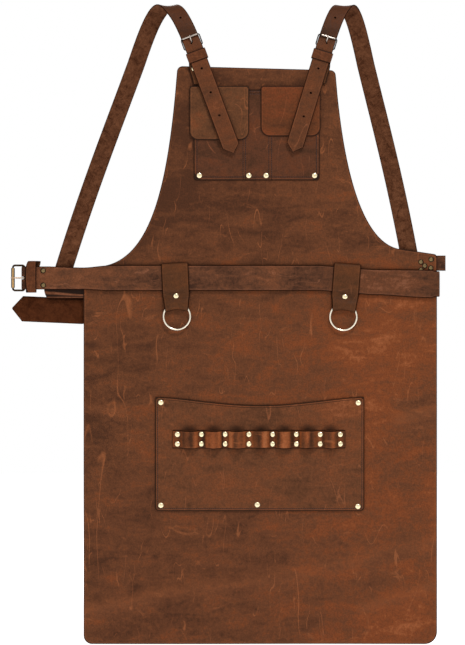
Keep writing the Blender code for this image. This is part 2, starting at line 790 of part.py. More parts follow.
def make_tail(side, finish):
    """The strap's free end below the keeper, with its origin on the line where it folds up."""
    top = tail_top(side)
    down = front_direction(side)
    length = (top.z - TAIL_TIP_Z[side]) / math.cos(FRONT_LEAN[side])
    stations = []
    across = down.cross(Vector((0, -1, 0))).normalized()
    reaches = [0.0, (length - TAIL_POINT) / 2, length - TAIL_POINT, length]
    widths = [STRAP_WIDTH / 2] * 3 + [TIP_HALF_WIDTH]
    for reach, half in zip(reaches, widths):
        stations.append((top + down * reach, across * half, Vector((0, -1, 0))))
    tail = ribbon("strap_tail_" + side_name(side), stations, STRAP_THICK, finish)
    set_origin(tail, top + Vector((0, -STRAP_THICK / 2, 0)))
    return tail


def strap_bars(side):
    """Centres of the shoulder buckle's heel bar, behind the strap, and top bar, before it."""
    heel = front_point(side, HEEL_BAR_Z)
    heel.y = HEEL_BAR_Y
    top = heel - front_direction(side) * ((TOP_BAR_Z - HEEL_BAR_Z) / math.cos(FRONT_LEAN[side]))
    top.y = TOP_BAR_Y
    return heel, top


def make_strap_buckle(side, finish):
    heel, top = strap_bars(side)
    up = (top - heel).normalized()
    across = front_direction(side).cross(Vector((0, -1, 0))).normalized()
    length = (top - heel).length
    low = (-STRAP_BUCKLE_HALF, 0.0)
    high = (STRAP_BUCKLE_HALF, length)
    outline = rounded_rectangle(low, high, STRAP_BUCKLE_CORNER, 3)
    points = [heel + across * u + up * v for u, v in outline]
    name = "strap_buckle_frame_" + side_name(side)
    frame = wire(name, points, STRAP_BUCKLE_WIRE, finish, closed=True)
    set_origin(frame, heel)
    front = across.cross(up).normalized()
    if front.y > 0:
        front = -front
    make_prong("strap_buckle_prong_" + side_name(side), heel, up, front,
               length + STRAP_PRONG_OVERHANG,
               STRAP_PRONG_RADIUS, STRAP_PRONG_EYE,
               STRAP_BUCKLE_WIRE + 2 * CLEARANCE + STRAP_PRONG_RADIUS, finish)


def make_strap_keeper(side, finish):
    z0, z1 = STRAP_KEEPER_Z
    middle = front_point(side, (z0 + z1) / 2)
    strap_face = middle.y - STRAP_THICK / 2 - 2 * CLEARANCE
    centre = Vector((middle.x, (strap_face + STRAP_KEEPER_BACK_Y) / 2, middle.z))
    half_depth = (STRAP_KEEPER_BACK_Y - strap_face) / 2
    return loop_band("strap_keeper_" + side_name(side), centre, front_direction(side),
                     Vector((0, -1, 0)), STRAP_WIDTH / 2 + 2 * CLEARANCE, half_depth,
                     (z1 - z0) / math.cos(FRONT_LEAN[side]), KEEPER_THICK, finish)


def make_buckle_tab(side, finish):
    """The tab on the bib's corner, folded round the shoulder buckle's heel bar."""
    heel, top = strap_bars(side)
    down = front_direction(side)
    across = down.cross(Vector((0, -1, 0))).normalized()
    eye = STRAP_BUCKLE_WIRE + EYE_PLAY + STRIP_THICK / 2
    back_y = -CLEARANCE - STRIP_THICK / 2
    front_y = back_y - STRIP_THICK - CLEARANCE
    run = []
    steps = 6
    lean_top = FRONT_LEAN[side]
    reach = (heel.z - TAB_END_Z) / math.cos(lean_top)
    spot = heel.copy()
    for i in range(1, steps + 1):
        lean = lean_top + (TAB_LEAN_ON_BIB - lean_top) * smooth(i / steps)
        heading = Vector((-side * math.sin(lean), 0, -math.cos(lean)))
        spot = spot + heading * (reach / steps)
        run.append((spot.copy(), heading, smooth(i / 3)))
    half = TAB_WIDTH / 2

    def layer(items, eye_y, flat_y, normal):
        found = []
        for centre, heading, settled in items:
            side_way = heading.cross(Vector((0, -1, 0))).normalized()
            place = Vector((centre.x, eye_y + (flat_y - eye_y) * settled, centre.z))
            found.append((place, side_way * half, normal))
        return found

    back = layer(run, heel.y + eye, back_y, Vector((0, 1, 0)))
    front = layer(run, heel.y - eye, front_y, Vector((0, -1, 0)))
    bend = []
    steps = 8
    for i in range(steps + 1):
        angle = math.pi * i / steps
        normal = Vector((0, math.cos(angle), 0)) - down * math.sin(angle)
        bend.append((heel + normal * eye, across * half, normal))
    stations = list(reversed(back)) + bend + front
    name = "buckle_tab_" + side_name(side)
    tab = ribbon(name, stations, STRIP_THICK, finish)
    slot = slot_cutter("tab_slot_" + side_name(side), heel, down, *TAB_SLOT)
    cut(tab, slot)
    return tab


def make_side_loop(side, finish):
    """A strip folded behind the wing, with the strap's end between its two layers."""
    outer, inner = LOOP_OUTER_X[side], LOOP_INNER_X[side]
    z0, z1 = SIDE_LOOP_Z[side]
    near = BODY_THICK + CLEARANCE + STRIP_THICK / 2
    far = 2 * STRAP_WAIST_Y - near
    radius = (far - near) / 2
    middle = (near + far) / 2
    fold_x = outer - side * (radius + STRIP_THICK / 2)
    path = [(inner, near), (fold_x, near)]
    steps = 8
    for i in range(1, steps):
        angle = math.pi * i / steps
        path.append((fold_x + side * radius * math.sin(angle), middle - radius * math.cos(angle)))
    path += [(fold_x, far), (inner, far)]
    half = Vector((0, 0, (z1 - z0) / 2))
    points = [Vector((x, y, (z0 + z1) / 2)) for x, y in path]
    stations = []
    for i, point in enumerate(points):
        along = points[min(i + 1, len(points) - 1)] - points[max(i - 1, 0)]
        stations.append((point, half, along.normalized().cross(Vector((0, 0, side)))))
    return ribbon("side_loop_" + side_name(side), stations, STRIP_THICK, finish)


# ---------------------------------------------------------------- ring hangers


def taper_hanger(mesh):
    """Full width above HANGER_SHOULDER, narrowing in a straight line to the bottom edge."""
    work = bmesh.new()
    work.from_mesh(mesh)
    whole = work.verts[:] + work.edges[:] + work.faces[:]
    bmesh.ops.bisect_plane(work, geom=whole, plane_co=(0, 0, HANGER_SHOULDER),
                           plane_no=(0, 0, 1), dist=1e-7)
    shrink = HANGER_BOTTOM_WIDTH / HANGER_TOP_WIDTH
    for vert in work.verts:
        t = (vert.co.z + HANGER_BOTTOM) / (HANGER_SHOULDER + HANGER_BOTTOM)
        vert.co.x *= shrink + (1 - shrink) * min(1.0, t)
    work.to_mesh(mesh)
    work.free()


def make_ring_hanger(side, materials):
    """A strip folded twice: round the belt above its rivet, round the O-ring below it."""
    neck = HANGER_NECK_Z[side]
    back = -CLEARANCE
    belt_front = belt_front_y() - BELT_THICK / 2 - EYE_PLAY
    front = belt_front - STRIP_THICK
    neck_front = back - 2 * STRIP_THICK
    eye_front = HANGER_EYE_FRONT_Y
    eye_back = back - STRIP_THICK
    outer = [(back, HANGER_TOP), (back, -HANGER_BOTTOM + HANGER_EASE)]
    outer += [(back - HANGER_EASE, -HANGER_BOTTOM)]
    outer += [(eye_front + HANGER_EASE / 2, -HANGER_BOTTOM)]
    outer += [(eye_front - STRIP_THICK, -HANGER_BOTTOM + 1.5 * HANGER_EASE)]
    outer += [(eye_front - STRIP_THICK, HANGER_RING_EYE_TOP - HANGER_EASE / 2)]
    outer += [(neck_front, -HANGER_NECK_HALF), (neck_front, HANGER_NECK_HALF)]
    outer += [(front, HANGER_FRONT_LOW), (front, HANGER_TOP - HANGER_EASE)]
    outer += [(front + HANGER_EASE, HANGER_TOP)]
    name = "ring_hanger_" + side_name(side)
    half = HANGER_TOP_WIDTH / 2
    outline = [Vector((-half, y, z)) for y, z in outer]
    hanger = prism(name, outline, 2 * half, Vector((1, 0, 0)), materials["grain"])
    taper_hanger(hanger.data)
    ease = CLEARANCE
    belt_eye = [(eye_back, HANGER_BELT_EYE_LOW), (belt_front + ease, HANGER_BELT_EYE_LOW)]
    belt_eye += [(belt_front, HANGER_BELT_EYE_LOW + EYE_PLAY)]
    belt_eye += [(belt_front, HANGER_TOP - STRIP_THICK), (eye_back, HANGER_TOP - STRIP_THICK)]
    ring_eye = rounded_rectangle((eye_front, -HANGER_BOTTOM + STRIP_THICK),
                                 (eye_back, HANGER_RING_EYE_TOP), HANGER_EASE, 2)
    cutters = []
    for label, shape in (("belt_eye", belt_eye), ("ring_eye", ring_eye)):
        ring = [Vector((-2 * half, y, z)) for y, z in shape]
        cutters.append(prism(label, ring, 4 * half, Vector((1, 0, 0)), None))
    eyes = join_as_cutter("hanger_eyes_" + side_name(side), cutters)
    place_hanger_part(hanger, side)
    place_hanger_part(eyes, side)
    cut(hanger, eyes)
    make_ring(side, materials["nickel"])
    return hanger


def hanger_matrix(side):
    shift = Matrix.Translation((HANGER_X[side], 0, HANGER_NECK_Z[side]))
    return shift @ Matrix.Rotation(HANGER_TILT[side], 4, "Y")


def place_hanger_part(piece, side):
    piece.data.transform(hanger_matrix(side))


def make_ring(side, finish):
    """An O-ring that swings about a line across the top of its wire."""
    steps = 32
    points = []
    for i in range(steps):
        angle = math.tau * i / steps
        points.append((RING_RADIUS * math.sin(angle), RING_Y,
                       -RING_DROP + RING_RADIUS * math.cos(angle)))
    ring = wire("o_ring_" + side_name(side), points, RING_WIRE, finish, closed=True)
    place_hanger_part(ring, side)
    set_origin(ring, hanger_matrix(side) @ Vector((0, RING_Y, -RING_AXIS_DROP)))
    return ring


# ---------------------------------------------------------------- assembly


def make_rivets(pieces, materials):
    """Every rivet, and its hole in each layer it passes through."""
    pocket_front = -CLEARANCE - POCKET_THICK
    brass = materials["brass"]
    chest = rivet_group("chest_pocket_rivet", [(x, CHEST_RIVET_Z) for x in CHEST_RIVET_X],
                        pocket_front, BODY_THICK, brass)
    tool = rivet_group("tool_pocket_rivet", TOOL_RIVETS_HIGH + TOOL_RIVETS_LOW,
                       tool_pocket_front(), BODY_THICK, brass)
    places = [(x, z) for x in loop_columns() for z in LOOP_RIVET_Z]
    strip_front = tool_pocket_front() - CLEARANCE - STRIP_THICK
    loops = rivet_group("tool_loop_rivet", places, strip_front, -TOOL_POCKET_GAP, brass)
    hanger_front = -CLEARANCE - 2 * STRIP_THICK
    places = [(HANGER_X[side], HANGER_NECK_Z[side]) for side in (-1, 1)]
    hangers = rivet_group("ring_hanger_rivet", places, hanger_front, BODY_THICK, brass)
    places = [(BELT_RIVET_X, BELT_FRONT_Z + rise) for rise in (BELT_RIVET_RISE, -BELT_RIVET_RISE)]
    belt_front = belt_front_y() - BELT_THICK / 2
    belt_back = belt_front + 2 * BELT_THICK + CLEARANCE
    belt = rivet_group("belt_rivet", places, belt_front, belt_back, materials["antique"])
    for cutter in (chest, tool, hangers):
        cut(pieces["apron_body"], cutter)
    cut(pieces["chest_pocket"], chest)
    cut(pieces["tool_pocket"], tool)
    cut(pieces["tool_pocket"], loops)
    cut(pieces["tool_loop_strip"], loops)
    cut(pieces["ring_hanger_left"], hangers)
    cut(pieces["ring_hanger_right"], hangers)
    cut(pieces["waist_belt"], belt)


def main():
    for old in list(bpy.data.objects):
        bpy.data.objects.remove(old)
    materials = make_materials()
    made = [
        make_body(materials["grain"]),
        make_chest_pocket(materials["grain"]),
        make_tool_pocket(materials["grain"]),
        make_tool_loop_strip(materials["red"]),
        make_belt(materials["belt"]),
    ]
    for side in (-1, 1):
        made.append(make_flap(side, materials["red"]))
        made.append(make_strap(side, materials["grain"]))
        made.append(make_tail(side, materials["grain"]))
        made.append(make_strap_keeper(side, materials["grain"]))
        made.append(make_buckle_tab(side, materials["grain"]))
        made.append(make_side_loop(side, materials["belt"]))
        made.append(make_ring_hanger(side, materials))
        make_strap_buckle(side, materials["nickel"])
    make_belt_buckle(materials)
    make_belt_keeper(materials["belt"])
    make_rivets({piece.name: piece for piece in made}, materials)


main()
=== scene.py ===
"""Looks of the leather welding apron: draped leather sheets, crowned straps, stitching, rivets and
wire hardware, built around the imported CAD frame. Units are metres; the grain side faces -Y.
"""

import math
import random

import bmesh
import bpy
import numpy as np
from mathutils import Matrix, Vector


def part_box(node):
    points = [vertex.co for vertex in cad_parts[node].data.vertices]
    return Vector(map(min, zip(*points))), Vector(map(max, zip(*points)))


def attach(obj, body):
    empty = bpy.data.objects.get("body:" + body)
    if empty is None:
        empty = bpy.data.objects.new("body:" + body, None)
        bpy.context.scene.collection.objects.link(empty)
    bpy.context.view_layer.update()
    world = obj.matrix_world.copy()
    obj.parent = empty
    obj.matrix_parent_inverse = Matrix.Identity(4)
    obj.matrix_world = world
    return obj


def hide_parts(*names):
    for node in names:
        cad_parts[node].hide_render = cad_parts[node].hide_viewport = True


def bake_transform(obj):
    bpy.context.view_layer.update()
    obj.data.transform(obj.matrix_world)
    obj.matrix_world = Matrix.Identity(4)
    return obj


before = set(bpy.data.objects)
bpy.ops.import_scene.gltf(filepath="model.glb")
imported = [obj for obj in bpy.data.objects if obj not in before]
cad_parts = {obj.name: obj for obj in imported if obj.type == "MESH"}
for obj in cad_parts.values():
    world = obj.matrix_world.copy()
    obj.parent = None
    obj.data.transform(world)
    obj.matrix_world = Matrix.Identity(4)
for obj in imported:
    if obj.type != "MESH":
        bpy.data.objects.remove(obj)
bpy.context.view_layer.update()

MM = 0.001
SIDES = {-1: "left", 1: "right"}
UP = Vector((0, 0, 1))
FORWARDS = Vector((0, -1, 0))


def mm(*values):
    """A tuple of lengths given in millimetres."""
    return tuple(value * MM for value in values)


# Leather thicknesses and the gap between layers, as in the CAD
GAP = 0.3 * MM
EYE_SLACK = 0.4 * MM
BODY_THICK = 2.2 * MM
POCKET_THICK = 1.8 * MM
FLAP_THICK = 2.0 * MM
STRAP_THICK = 2.2 * MM
BELT_THICK = 3.0 * MM
STRIP_THICK = 1.8 * MM
KEEPER_THICK = 1.6 * MM

# Waist belt
BELT_WIDTH = 42 * MM
BELT_BUCKLE_WIDTH = 38 * MM
BELT_FRONT_Z = 604 * MM
BELT_STEP_DROP = 7 * MM
BELT_STEP_X = mm(100, 185)
BELT_WRAP_Z = 594 * MM
BELT_WRAP_X = 287.8 * MM
BELT_WRAP_REACH = 7 * MM
BELT_FRONT_Y = -4.0 * MM
BELT_BACK_Y = 10.8 * MM
BELT_TAIL_LOW = mm(-296, 549)
BELT_TIP = mm(-410, 554)
BELT_POINT = 17 * MM
BELT_DIP_X = -292 * MM
BELT_DIP_REACH = 35 * MM
BELT_DIP_DEPTH = 1.0 * MM
BELT_DIP_NARROWING = 0.9 * MM
BELT_WIDENING_REACH = 40 * MM
BELT_FLARE = 2.0 * MM
BELT_FLARE_X = 190 * MM
BELT_FLARE_REACH = 80 * MM
BELT_SLOT_HALF = mm(9, 12, 2.0)
BELT_RETURN_X = -346 * MM
BELT_BAR_X = -389 * MM
BELT_WIRE = 1.6 * MM
BELT_BUCKLE_LENGTH = 19 * MM
BELT_BUCKLE_HALF = 20.6 * MM
BELT_BUCKLE_CORNER = 3.5 * MM
ROLLER_RADIUS = 3 * MM
ROLLER_INSET = 4.4 * MM
ROLLER_BEVEL = 0.5 * MM
ROLLER_END_RADIUS = 0.92 * ROLLER_RADIUS
PRONG_EYE = 2.9 * MM
BELT_PRONG_WIRE = 1.1 * MM
BELT_PRONG_PAST = 3.6 * MM
BELT_PRONG_REST = 1.2 * MM
BELT_PRONG_LOW = 1.2 * MM
KEEPER_SPAN_Z = mm(579.8, 632)
KEEPER_SPAN_X = mm(-387.2, -369.5)
KEEPER_DEEPER = 0.4 * MM
KEEPER_STRAY = 7 * MM
KEEPER_BOW = mm(2.4, 2.6)
BAND_CORNER = 1.6 * MM

# Shoulder straps
STRAP_WIDTH = 29 * MM
ARCH_TOP_Z = 1054.5 * MM
ARCH_RISE = 95 * MM
ARCH_HALF_DEPTH = 34 * MM
STRAP_FRONT_Y = -8.2 * MM
STRAP_WAIST_Y = 5.7 * MM
ARCH_X = {-1: -155 * MM, 1: 141 * MM}
FRONT_LEAN = {-1: math.radians(20.5), 1: math.radians(17)}
BACK_LEAN = {-1: math.radians(18.9), 1: math.radians(12.2)}
BACK_BOW = 3 * MM
STRAP_END_Z = {-1: 588 * MM, 1: 618 * MM}
STRAP_SETTLED_Z = 650 * MM
TAIL_TOP_Z = 955 * MM
TAIL_TIP_Z = {-1: 809 * MM, 1: 811 * MM}
TAIL_POINT = 13 * MM
TOP_BAR_Z = 1001.5 * MM
HEEL_BAR_Z = 984.5 * MM
HEEL_BAR_Y = -1.5 * MM
TOP_BAR_Y = -8.6 * MM
STRAP_WIRE = 1.4 * MM
STRAP_SIDE_WIRE = 0.95 * MM
STRAP_BUCKLE_HALF = 15.9 * MM
STRAP_BUCKLE_CORNER = 3 * MM
STRAP_PRONG_WIRE = 1.0 * MM
STRAP_PRONG_PAST = 3.4 * MM
STRAP_PRONG_REST = 1.0 * MM
STRAP_PRONG_LOW = -0.5 * MM
STRAP_SLIT_UP = 8 * MM
STRAP_SLIT_HALF = mm(1.1, 1.4, 3.0)
STRAP_KEEPER_Z = mm(962, 978)
STRAP_KEEPER_BACK_Y = 2.3 * MM
STRAP_INTO_KEEPER = 9 * MM
TAIL_INTO_KEEPER = 8 * MM
TAIL_FIRST_HOLE = 6 * MM
TAIL_BEND = 16 * MM
TAIL_BOW = 0.8 * MM
TAB_WIDTH = 27 * MM
TAB_END_Z = 927 * MM
TAB_LEAN_ON_BIB = math.radians(0.5)
TAB_RIVET_Z = 949 * MM
TAB_RIVET_SHIFT = {-1: 0.9 * MM, 1: -1.6 * MM}
TAB_SLOT_HALF = mm(2.4, 12, 6.5)
STRAP_HOLE_PITCH = 43 * MM
STRAP_HOLE_RADIUS = 1.7 * MM
HOLE_HALF_DEPTH = 1.5 * MM

# Ring hangers
HANGER_TILT = {-1: math.radians(-2.5), 1: math.radians(4.5)}
HANGER_TOP = 54 * MM
HANGER_BOTTOM = 21.5 * MM
HANGER_WIDTH = mm(38, 44.5)
HANGER_ARCH = 4.2 * MM
RING_RADIUS = 22 * MM
RING_WIRE = 1.5 * MM
RING_DROP = 33.3 * MM
RING_Y = -6.3 * MM

# Side loops
LOOP_OUTER_X = {-1: -357 * MM, 1: 306 * MM}
LOOP_INNER_X = {-1: -246 * MM, 1: 230 * MM}
SIDE_LOOP_Z = {-1: mm(570, 599), 1: mm(616, 641)}
FOLD_LEAN = 5 * MM
FOLD_LEAN_HEIGHT = 14 * MM
FOLD_LEAN_REACH = mm(4, 24)

# Tool loop strip
LOOP_BULGE = 10 * MM
LOOP_LAND = 4.6 * MM
LOOP_STRIP_END = 8 * MM
STRIP_TRIM = 0.4 * MM
LOOP_STEPS = 16
# Each loop differs a little: how full it is, how far it leans and how many millimetres it sags
LOOP_FULLNESS = (0.86, 1.0)
LOOP_LEAN = (-0.25, 0.25)
LOOP_SAG = (0.2, 1.5)

# Pocket flaps
FLAP_BEND = 9 * MM
FLAP_BELLY = 0.7 * MM

# Rivets and thread
CAP_RADIUS = 4.5 * MM
CAP_RISE = 1.5 * MM
BACK_RISE = 0.9 * MM
BACK_SIZE = 0.92
RIVET_TILT_DEGREES = (-3, 3)
STITCH_PITCH = 3.6 * MM
STITCH_LENGTH = 2.7 * MM
THREAD_RADIUS = 0.42 * MM
CHEST_SEAM_INSET = 5.0 * MM
TOOL_SEAM_INSET = 3.4 * MM
DIVIDER_SEAMS_X = mm(-28.5, -24.5, 14.0, 18.5)
TOP_SEAMS_DOWN = mm(2.2, 6.8)
WING_RIVETS = (
    mm(265, 630.5), mm(282, 634.5), mm(271.5, 624),
    mm(281.5, 620.5), mm(265.5, 617),
    mm(-262, 591.5), mm(-272, 593), mm(-282, 591.5),
)

# Corners in a turned or drawn-round shape
LATHE_SIDES = 28
TUBE_SIDES = 12
PUNCH_SIDES = 14
THREAD_SIDES = 7

# Noise recipes: scale in blotches per metre, detail, roughness and, where used, distortion
CLOUDS = (9.0, 4.0, 0.6, 0.3)
BLOTCHES = (30.0, 5.0, 0.62, 0.6)
MOTTLE = (150.0, 5.0, 0.7, 0.3)
PATCHES = (33.0, 5.0, 0.62, 1.2)
PORES = (420.0, 3.0, 0.6)
WRINKLES = (240.0, 4.0, 0.6)
GRAIN_CELLS = 620.0
SUEDE_CLOUDS = (11.0, 4.0, 0.6, 0.4)
NAP = (330.0, 4.0, 0.7, 0.5)
FIBRES = (900.0, 3.0, 0.7)
EDGE_STREAKS = (260.0, 4.0, 0.6)
STRANDS = (1500.0, 2.0)
TARNISH = (260.0, 5.0, 0.65, 0.6)
MARKS = (700.0, 3.0, 0.6)
# Scratches: scale, width and seed of each set of lines
SCRATCHES = ((34.0, 0.010, 1.0), (62.0, 0.014, 2.0), (15.0, 0.004, 3.3))
BODY_FLOW = (0.6, 1.0, 1.5)
BELT_FLOW = (1.9, 1.0, 0.6)


def srgb(red, green, blue):
    """A linear colour from 0-255 screen values."""
    return tuple((value / 255) ** 2.2 for value in (red, green, blue))


# ---------------------------------------------------------------- shader nodes


class Shader:
    """A material's node tree, with a short call for each kind of node used here."""

    def __init__(self, name):
        self.material = bpy.data.materials.new(name)
        self.material.use_nodes = True
        self.tree = self.material.node_tree
        self.surface = self.tree.nodes["Principled BSDF"]

    def feed(self, socket, value):
        if isinstance(value, bpy.types.NodeSocket):
            self.tree.links.new(value, socket)
        elif isinstance(value, tuple) and socket.type == "RGBA":
            socket.default_value = (*value, 1.0)
        else:
            socket.default_value = value

    def set(self, name, value):
        self.feed(self.surface.inputs[name], value)

    def dress(self, colour, roughness, height, strength, distance):
        """Feeds the surface its colour and roughness, and bumps it by height."""
        self.set("Base Color", colour)
        self.set("Roughness", roughness)
        self.set("Normal", self.bump(height, strength, distance))

    def attribute(self, name, output="Fac"):
        found = self.tree.nodes.new("ShaderNodeAttribute")
        found.attribute_name = name
        return found.outputs[output]

    def math(self, operation, first, second=0.0):
        found = self.tree.nodes.new("ShaderNodeMath")
        found.operation = operation
        self.feed(found.inputs[0], first)
        self.feed(found.inputs[1], second)
        return found.outputs[0]

    def times(self, first, second):
        return self.math("MULTIPLY", first, second)

    def plus(self, first, second):
        return self.math("ADD", first, second)

    def minus(self, first, second):
        return self.math("SUBTRACT", first, second)

    def stretch(self, vector, scale, turn=(0.0, 0.0, 0.0), shift=(0.0, 0.0, 0.0)):
        found = self.tree.nodes.new("ShaderNodeMapping")
        self.feed(found.inputs["Vector"], vector)
        found.inputs["Scale"].default_value = scale
        found.inputs["Rotation"].default_value = turn
        found.inputs["Location"].default_value = shift
        return found.outputs[0]

    def noise(self, vector, scale, detail=2.0, roughness=0.5, distortion=0.0):
        found = self.tree.nodes.new("ShaderNodeTexNoise")
        for name, value in (("Vector", vector), ("Scale", scale), ("Detail", detail),
                            ("Roughness", roughness), ("Distortion", distortion)):
            self.feed(found.inputs[name], value)
        return found.outputs["Fac"]

    def cells(self, vector, scale):
        found = self.tree.nodes.new("ShaderNodeTexVoronoi")
        self.feed(found.inputs["Vector"], vector)
        self.feed(found.inputs["Scale"], scale)
        return found.outputs["Distance"]

    def step(self, value, low, high, out_low=0.0, out_high=1.0):
        """Runs smoothly from out_low to out_high as value goes from low to high."""
        found = self.tree.nodes.new("ShaderNodeMapRange")
        found.interpolation_type = "SMOOTHSTEP"
        self.feed(found.inputs["Value"], value)
        for name, number in (("From Min", low), ("From Max", high),
                             ("To Min", out_low), ("To Max", out_high)):
            self.feed(found.inputs[name], number)
        return found.outputs["Result"]

    def ramp(self, value, stops):
        found = self.tree.nodes.new("ShaderNodeValToRGB")
        self.feed(found.inputs["Fac"], value)
        band = found.color_ramp
        while len(band.elements) < len(stops):
            band.elements.new(0.5)
        for element, (place, colour) in zip(band.elements, stops):
            element.position = place
            element.color = (*colour, 1.0)
        return found.outputs["Color"]

    def mix(self, factor, first, second, blend="MIX"):
        found = self.tree.nodes.new("ShaderNodeMix")
        found.data_type = "RGBA"
        found.blend_type = blend
        self.feed(found.inputs[0], factor)
        self.feed(found.inputs[6], first)
        self.feed(found.inputs[7], second)
        return found.outputs[2]

    def contact_shade(self, reach, floor):
        """Painted shade: 1 on open leather, falling to floor in folds and beside whatever lies on it.
        """
        node = self.tree.nodes.new("ShaderNodeAmbientOcclusion")
        node.samples = 8
        node.inputs["Distance"].default_value = reach
        return self.step(node.outputs["AO"], 0.30, 0.92, floor, 1.0)

    def bump(self, height, strength, distance):
        found = self.tree.nodes.new("ShaderNodeBump")
        found.inputs["Strength"].default_value = strength
        found.inputs["Distance"].default_value = distance
        self.feed(found.inputs["Height"], height)
        return found.outputs["Normal"]


def shade(colour, amount):
    """The colour dimmed to a part of itself."""
    return tuple(amount * channel for channel in colour)


def scratch_lines(shader, place, scale, width, seed):
    """Thin curved lines where a broad noise crosses its middle value, broken into short runs."""
    moved = shader.stretch(place, (1.0, 1.0, 0.25), turn=(0.0, 0.9 * seed, 0.0),
                           shift=(seed, 2.0 * seed, 3.0 * seed))
    field = shader.noise(moved, scale, 1.0, 0.4, 0.15)
    near = shader.math("ABSOLUTE", shader.minus(field, 0.5))
    line = shader.step(near, 0.0, width, 1.0, 0.0)
    runs = shader.step(shader.noise(moved, scale * 0.9 + 7.0, 2.0), 0.56, 0.66)
    return shader.times(line, runs)


def grain_leather(name, tones, shift, seam=None, upright_seams=(), flow=BODY_FLOW, contrast=1.0,
                  wear=0.42):
    """Oiled pull-up leather. tones are (dark, middle, warm, and a light tone for scuffs and painted
    highlights); seam is the inset of a pressed stitch groove, in millimetres, and upright_seams the
    x of straight ones; flow is how the blotches are squeezed along each axis."""
    dark, middle, warm, scuffed_and_highlight = tones
    shader = Shader(name)
    place = shader.stretch(shader.attribute("grain_at", "Vector"), (1.0, 1.0, 1.0), shift=shift)
    drift = shader.attribute("drift")
    edge = shader.attribute("edge_mm")
    crease = shader.attribute("crease")

    clouds = shader.noise(shader.stretch(place, (0.8, 1.0, 1.25)), *CLOUDS)
    blotches = shader.noise(shader.stretch(place, flow), *BLOTCHES)
    mottle = shader.noise(place, *MOTTLE)
    level = shader.times(clouds, 0.30)
    level = shader.plus(level, shader.times(blotches, 0.40))
    level = shader.plus(level, shader.times(mottle, 0.30))
    level = shader.times(shader.minus(level, 0.5), contrast)
    level = shader.plus(level, 0.5)
    level = shader.plus(level, shader.times(drift, 0.075))
    colour = shader.ramp(level, ((0.36, dark), (0.48, middle), (0.60, warm), (0.72, scuffed_and_highlight)))

    patches = shader.noise(shader.stretch(place, flow), *PATCHES)
    worn = shader.step(patches, 0.80 - 0.48 * wear, 0.98 - 0.48 * wear, 0.0, wear)
    colour = shader.mix(worn, colour, scuffed_and_highlight)
    fine, dense, coarse = [scratch_lines(shader, place, *recipe) for recipe in SCRATCHES]
    lines = shader.math("MAXIMUM", shader.math("MAXIMUM", fine, dense), coarse)
    colour = shader.mix(shader.times(lines, 0.55), colour, scuffed_and_highlight)
    pores = shader.step(shader.noise(place, *PORES), 0.36, 0.62, 0.86, 1.10)
    colour = shader.mix(1.0, colour, pores, "MULTIPLY")
    # Lightened like wear along each crease, which also stands as a painted highlight on the crease's
    # ridge.
    colour = shader.mix(shader.times(crease, 0.22), colour, scuffed_and_highlight)

    # Partly the darker cut edge, partly painted shade: a dark outline along each cut edge.
    rim = shader.step(edge, 0.7, 1.7, 0.88, 0.0)
    colour = shader.mix(rim, colour, shade(dark, 0.25))
    # Partly a burnished line, partly a painted highlight: a lighter line just inside the dark rim.
    halo = shader.minus(shader.step(edge, 1.4, 2.2), shader.step(edge, 2.2, 3.4))
    colour = shader.mix(shader.times(halo, 0.22), colour, scuffed_and_highlight)
    # Mostly painted shade: the darkening attribute darkens folds, parts in the shadow of others and
    # leather under bars; a little of it is plain darker tone.
    grime = shader.times(shader.attribute("grime"), 0.8)
    colour = shader.mix(grime, colour, shade(dark, 0.22))

    height = shader.plus(shader.times(shader.cells(place, GRAIN_CELLS), 0.55),
                         shader.times(shader.noise(place, *WRINKLES), 0.8))
    height = shader.minus(height, shader.times(lines, 0.35))
    height = shader.plus(height, shader.times(blotches, 1.2))
    rows = [(edge, seam)] if seam else []
    if upright_seams:
        split = shader.tree.nodes.new("ShaderNodeSeparateXYZ")
        shader.feed(split.inputs[0], shader.attribute("grain_at", "Vector"))
        across = shader.times(split.outputs[0], 1 / MM)
        rows += [(across, x / MM) for x in upright_seams]
    for distance, line in rows:
        from_seam = shader.math("ABSOLUTE", shader.minus(distance, line))
        groove = shader.step(from_seam, 0.3, 0.8, 1.0, 0.0)
        colour = shader.mix(shader.times(groove, 0.75), colour, shade(dark, 0.3))
        height = shader.minus(height, shader.times(groove, 2.0))
    # Painted shade: the colour is darkened in folds and beside parts lying on the leather.
    colour = shader.mix(1.0, colour, shader.contact_shade(5 * MM, 0.04), "MULTIPLY")
    shader.dress(colour, shader.step(mottle, 0.3, 0.7, 0.50, 0.66), height, 0.55, 0.35 * MM)
    shader.set("Specular IOR Level", 0.10)
    return shader.material


def suede(name, dark, light, shift, blotch_scale=60.0, clouded=0.0):
    """The flesh side: matt, fibrous and blotched."""
    shader = Shader(name)
    place = shader.stretch(shader.attribute("grain_at", "Vector"), (1.0, 1.0, 1.0), shift=shift)
    clouds = shader.noise(place, *SUEDE_CLOUDS)
    blotches = shader.noise(place, blotch_scale, 5.0, 0.65, 0.8)
    nap = shader.noise(place, *NAP)
    level = shader.plus(shader.times(blotches, 0.6 - clouded), shader.times(nap, 0.4))
    level = shader.plus(level, shader.times(clouds, clouded))
    middle = tuple((a + b) / 2 for a, b in zip(dark, light))
    colour = shader.ramp(level, ((0.36, dark), (0.5, middle), (0.66, light)))
    rim = shader.step(shader.attribute("edge_mm"), 0.3, 1.6, 0.6, 0.0)
    colour = shader.mix(rim, colour, shade(dark, 0.4))
    fibres = shader.noise(shader.stretch(place, (1.0, 1.0, 0.35)), *FIBRES)
    # Painted shade: the flesh side is darkened in folds and beside parts lying on it.
    colour = shader.mix(1.0, colour, shader.contact_shade(9 * MM, 0.2), "MULTIPLY")
    shader.dress(colour, 0.93, shader.plus(nap, fibres), 0.8, 0.5 * MM)
    shader.set("Specular IOR Level", 0.06)
    shader.set("Sheen Weight", 0.03)
    return shader.material


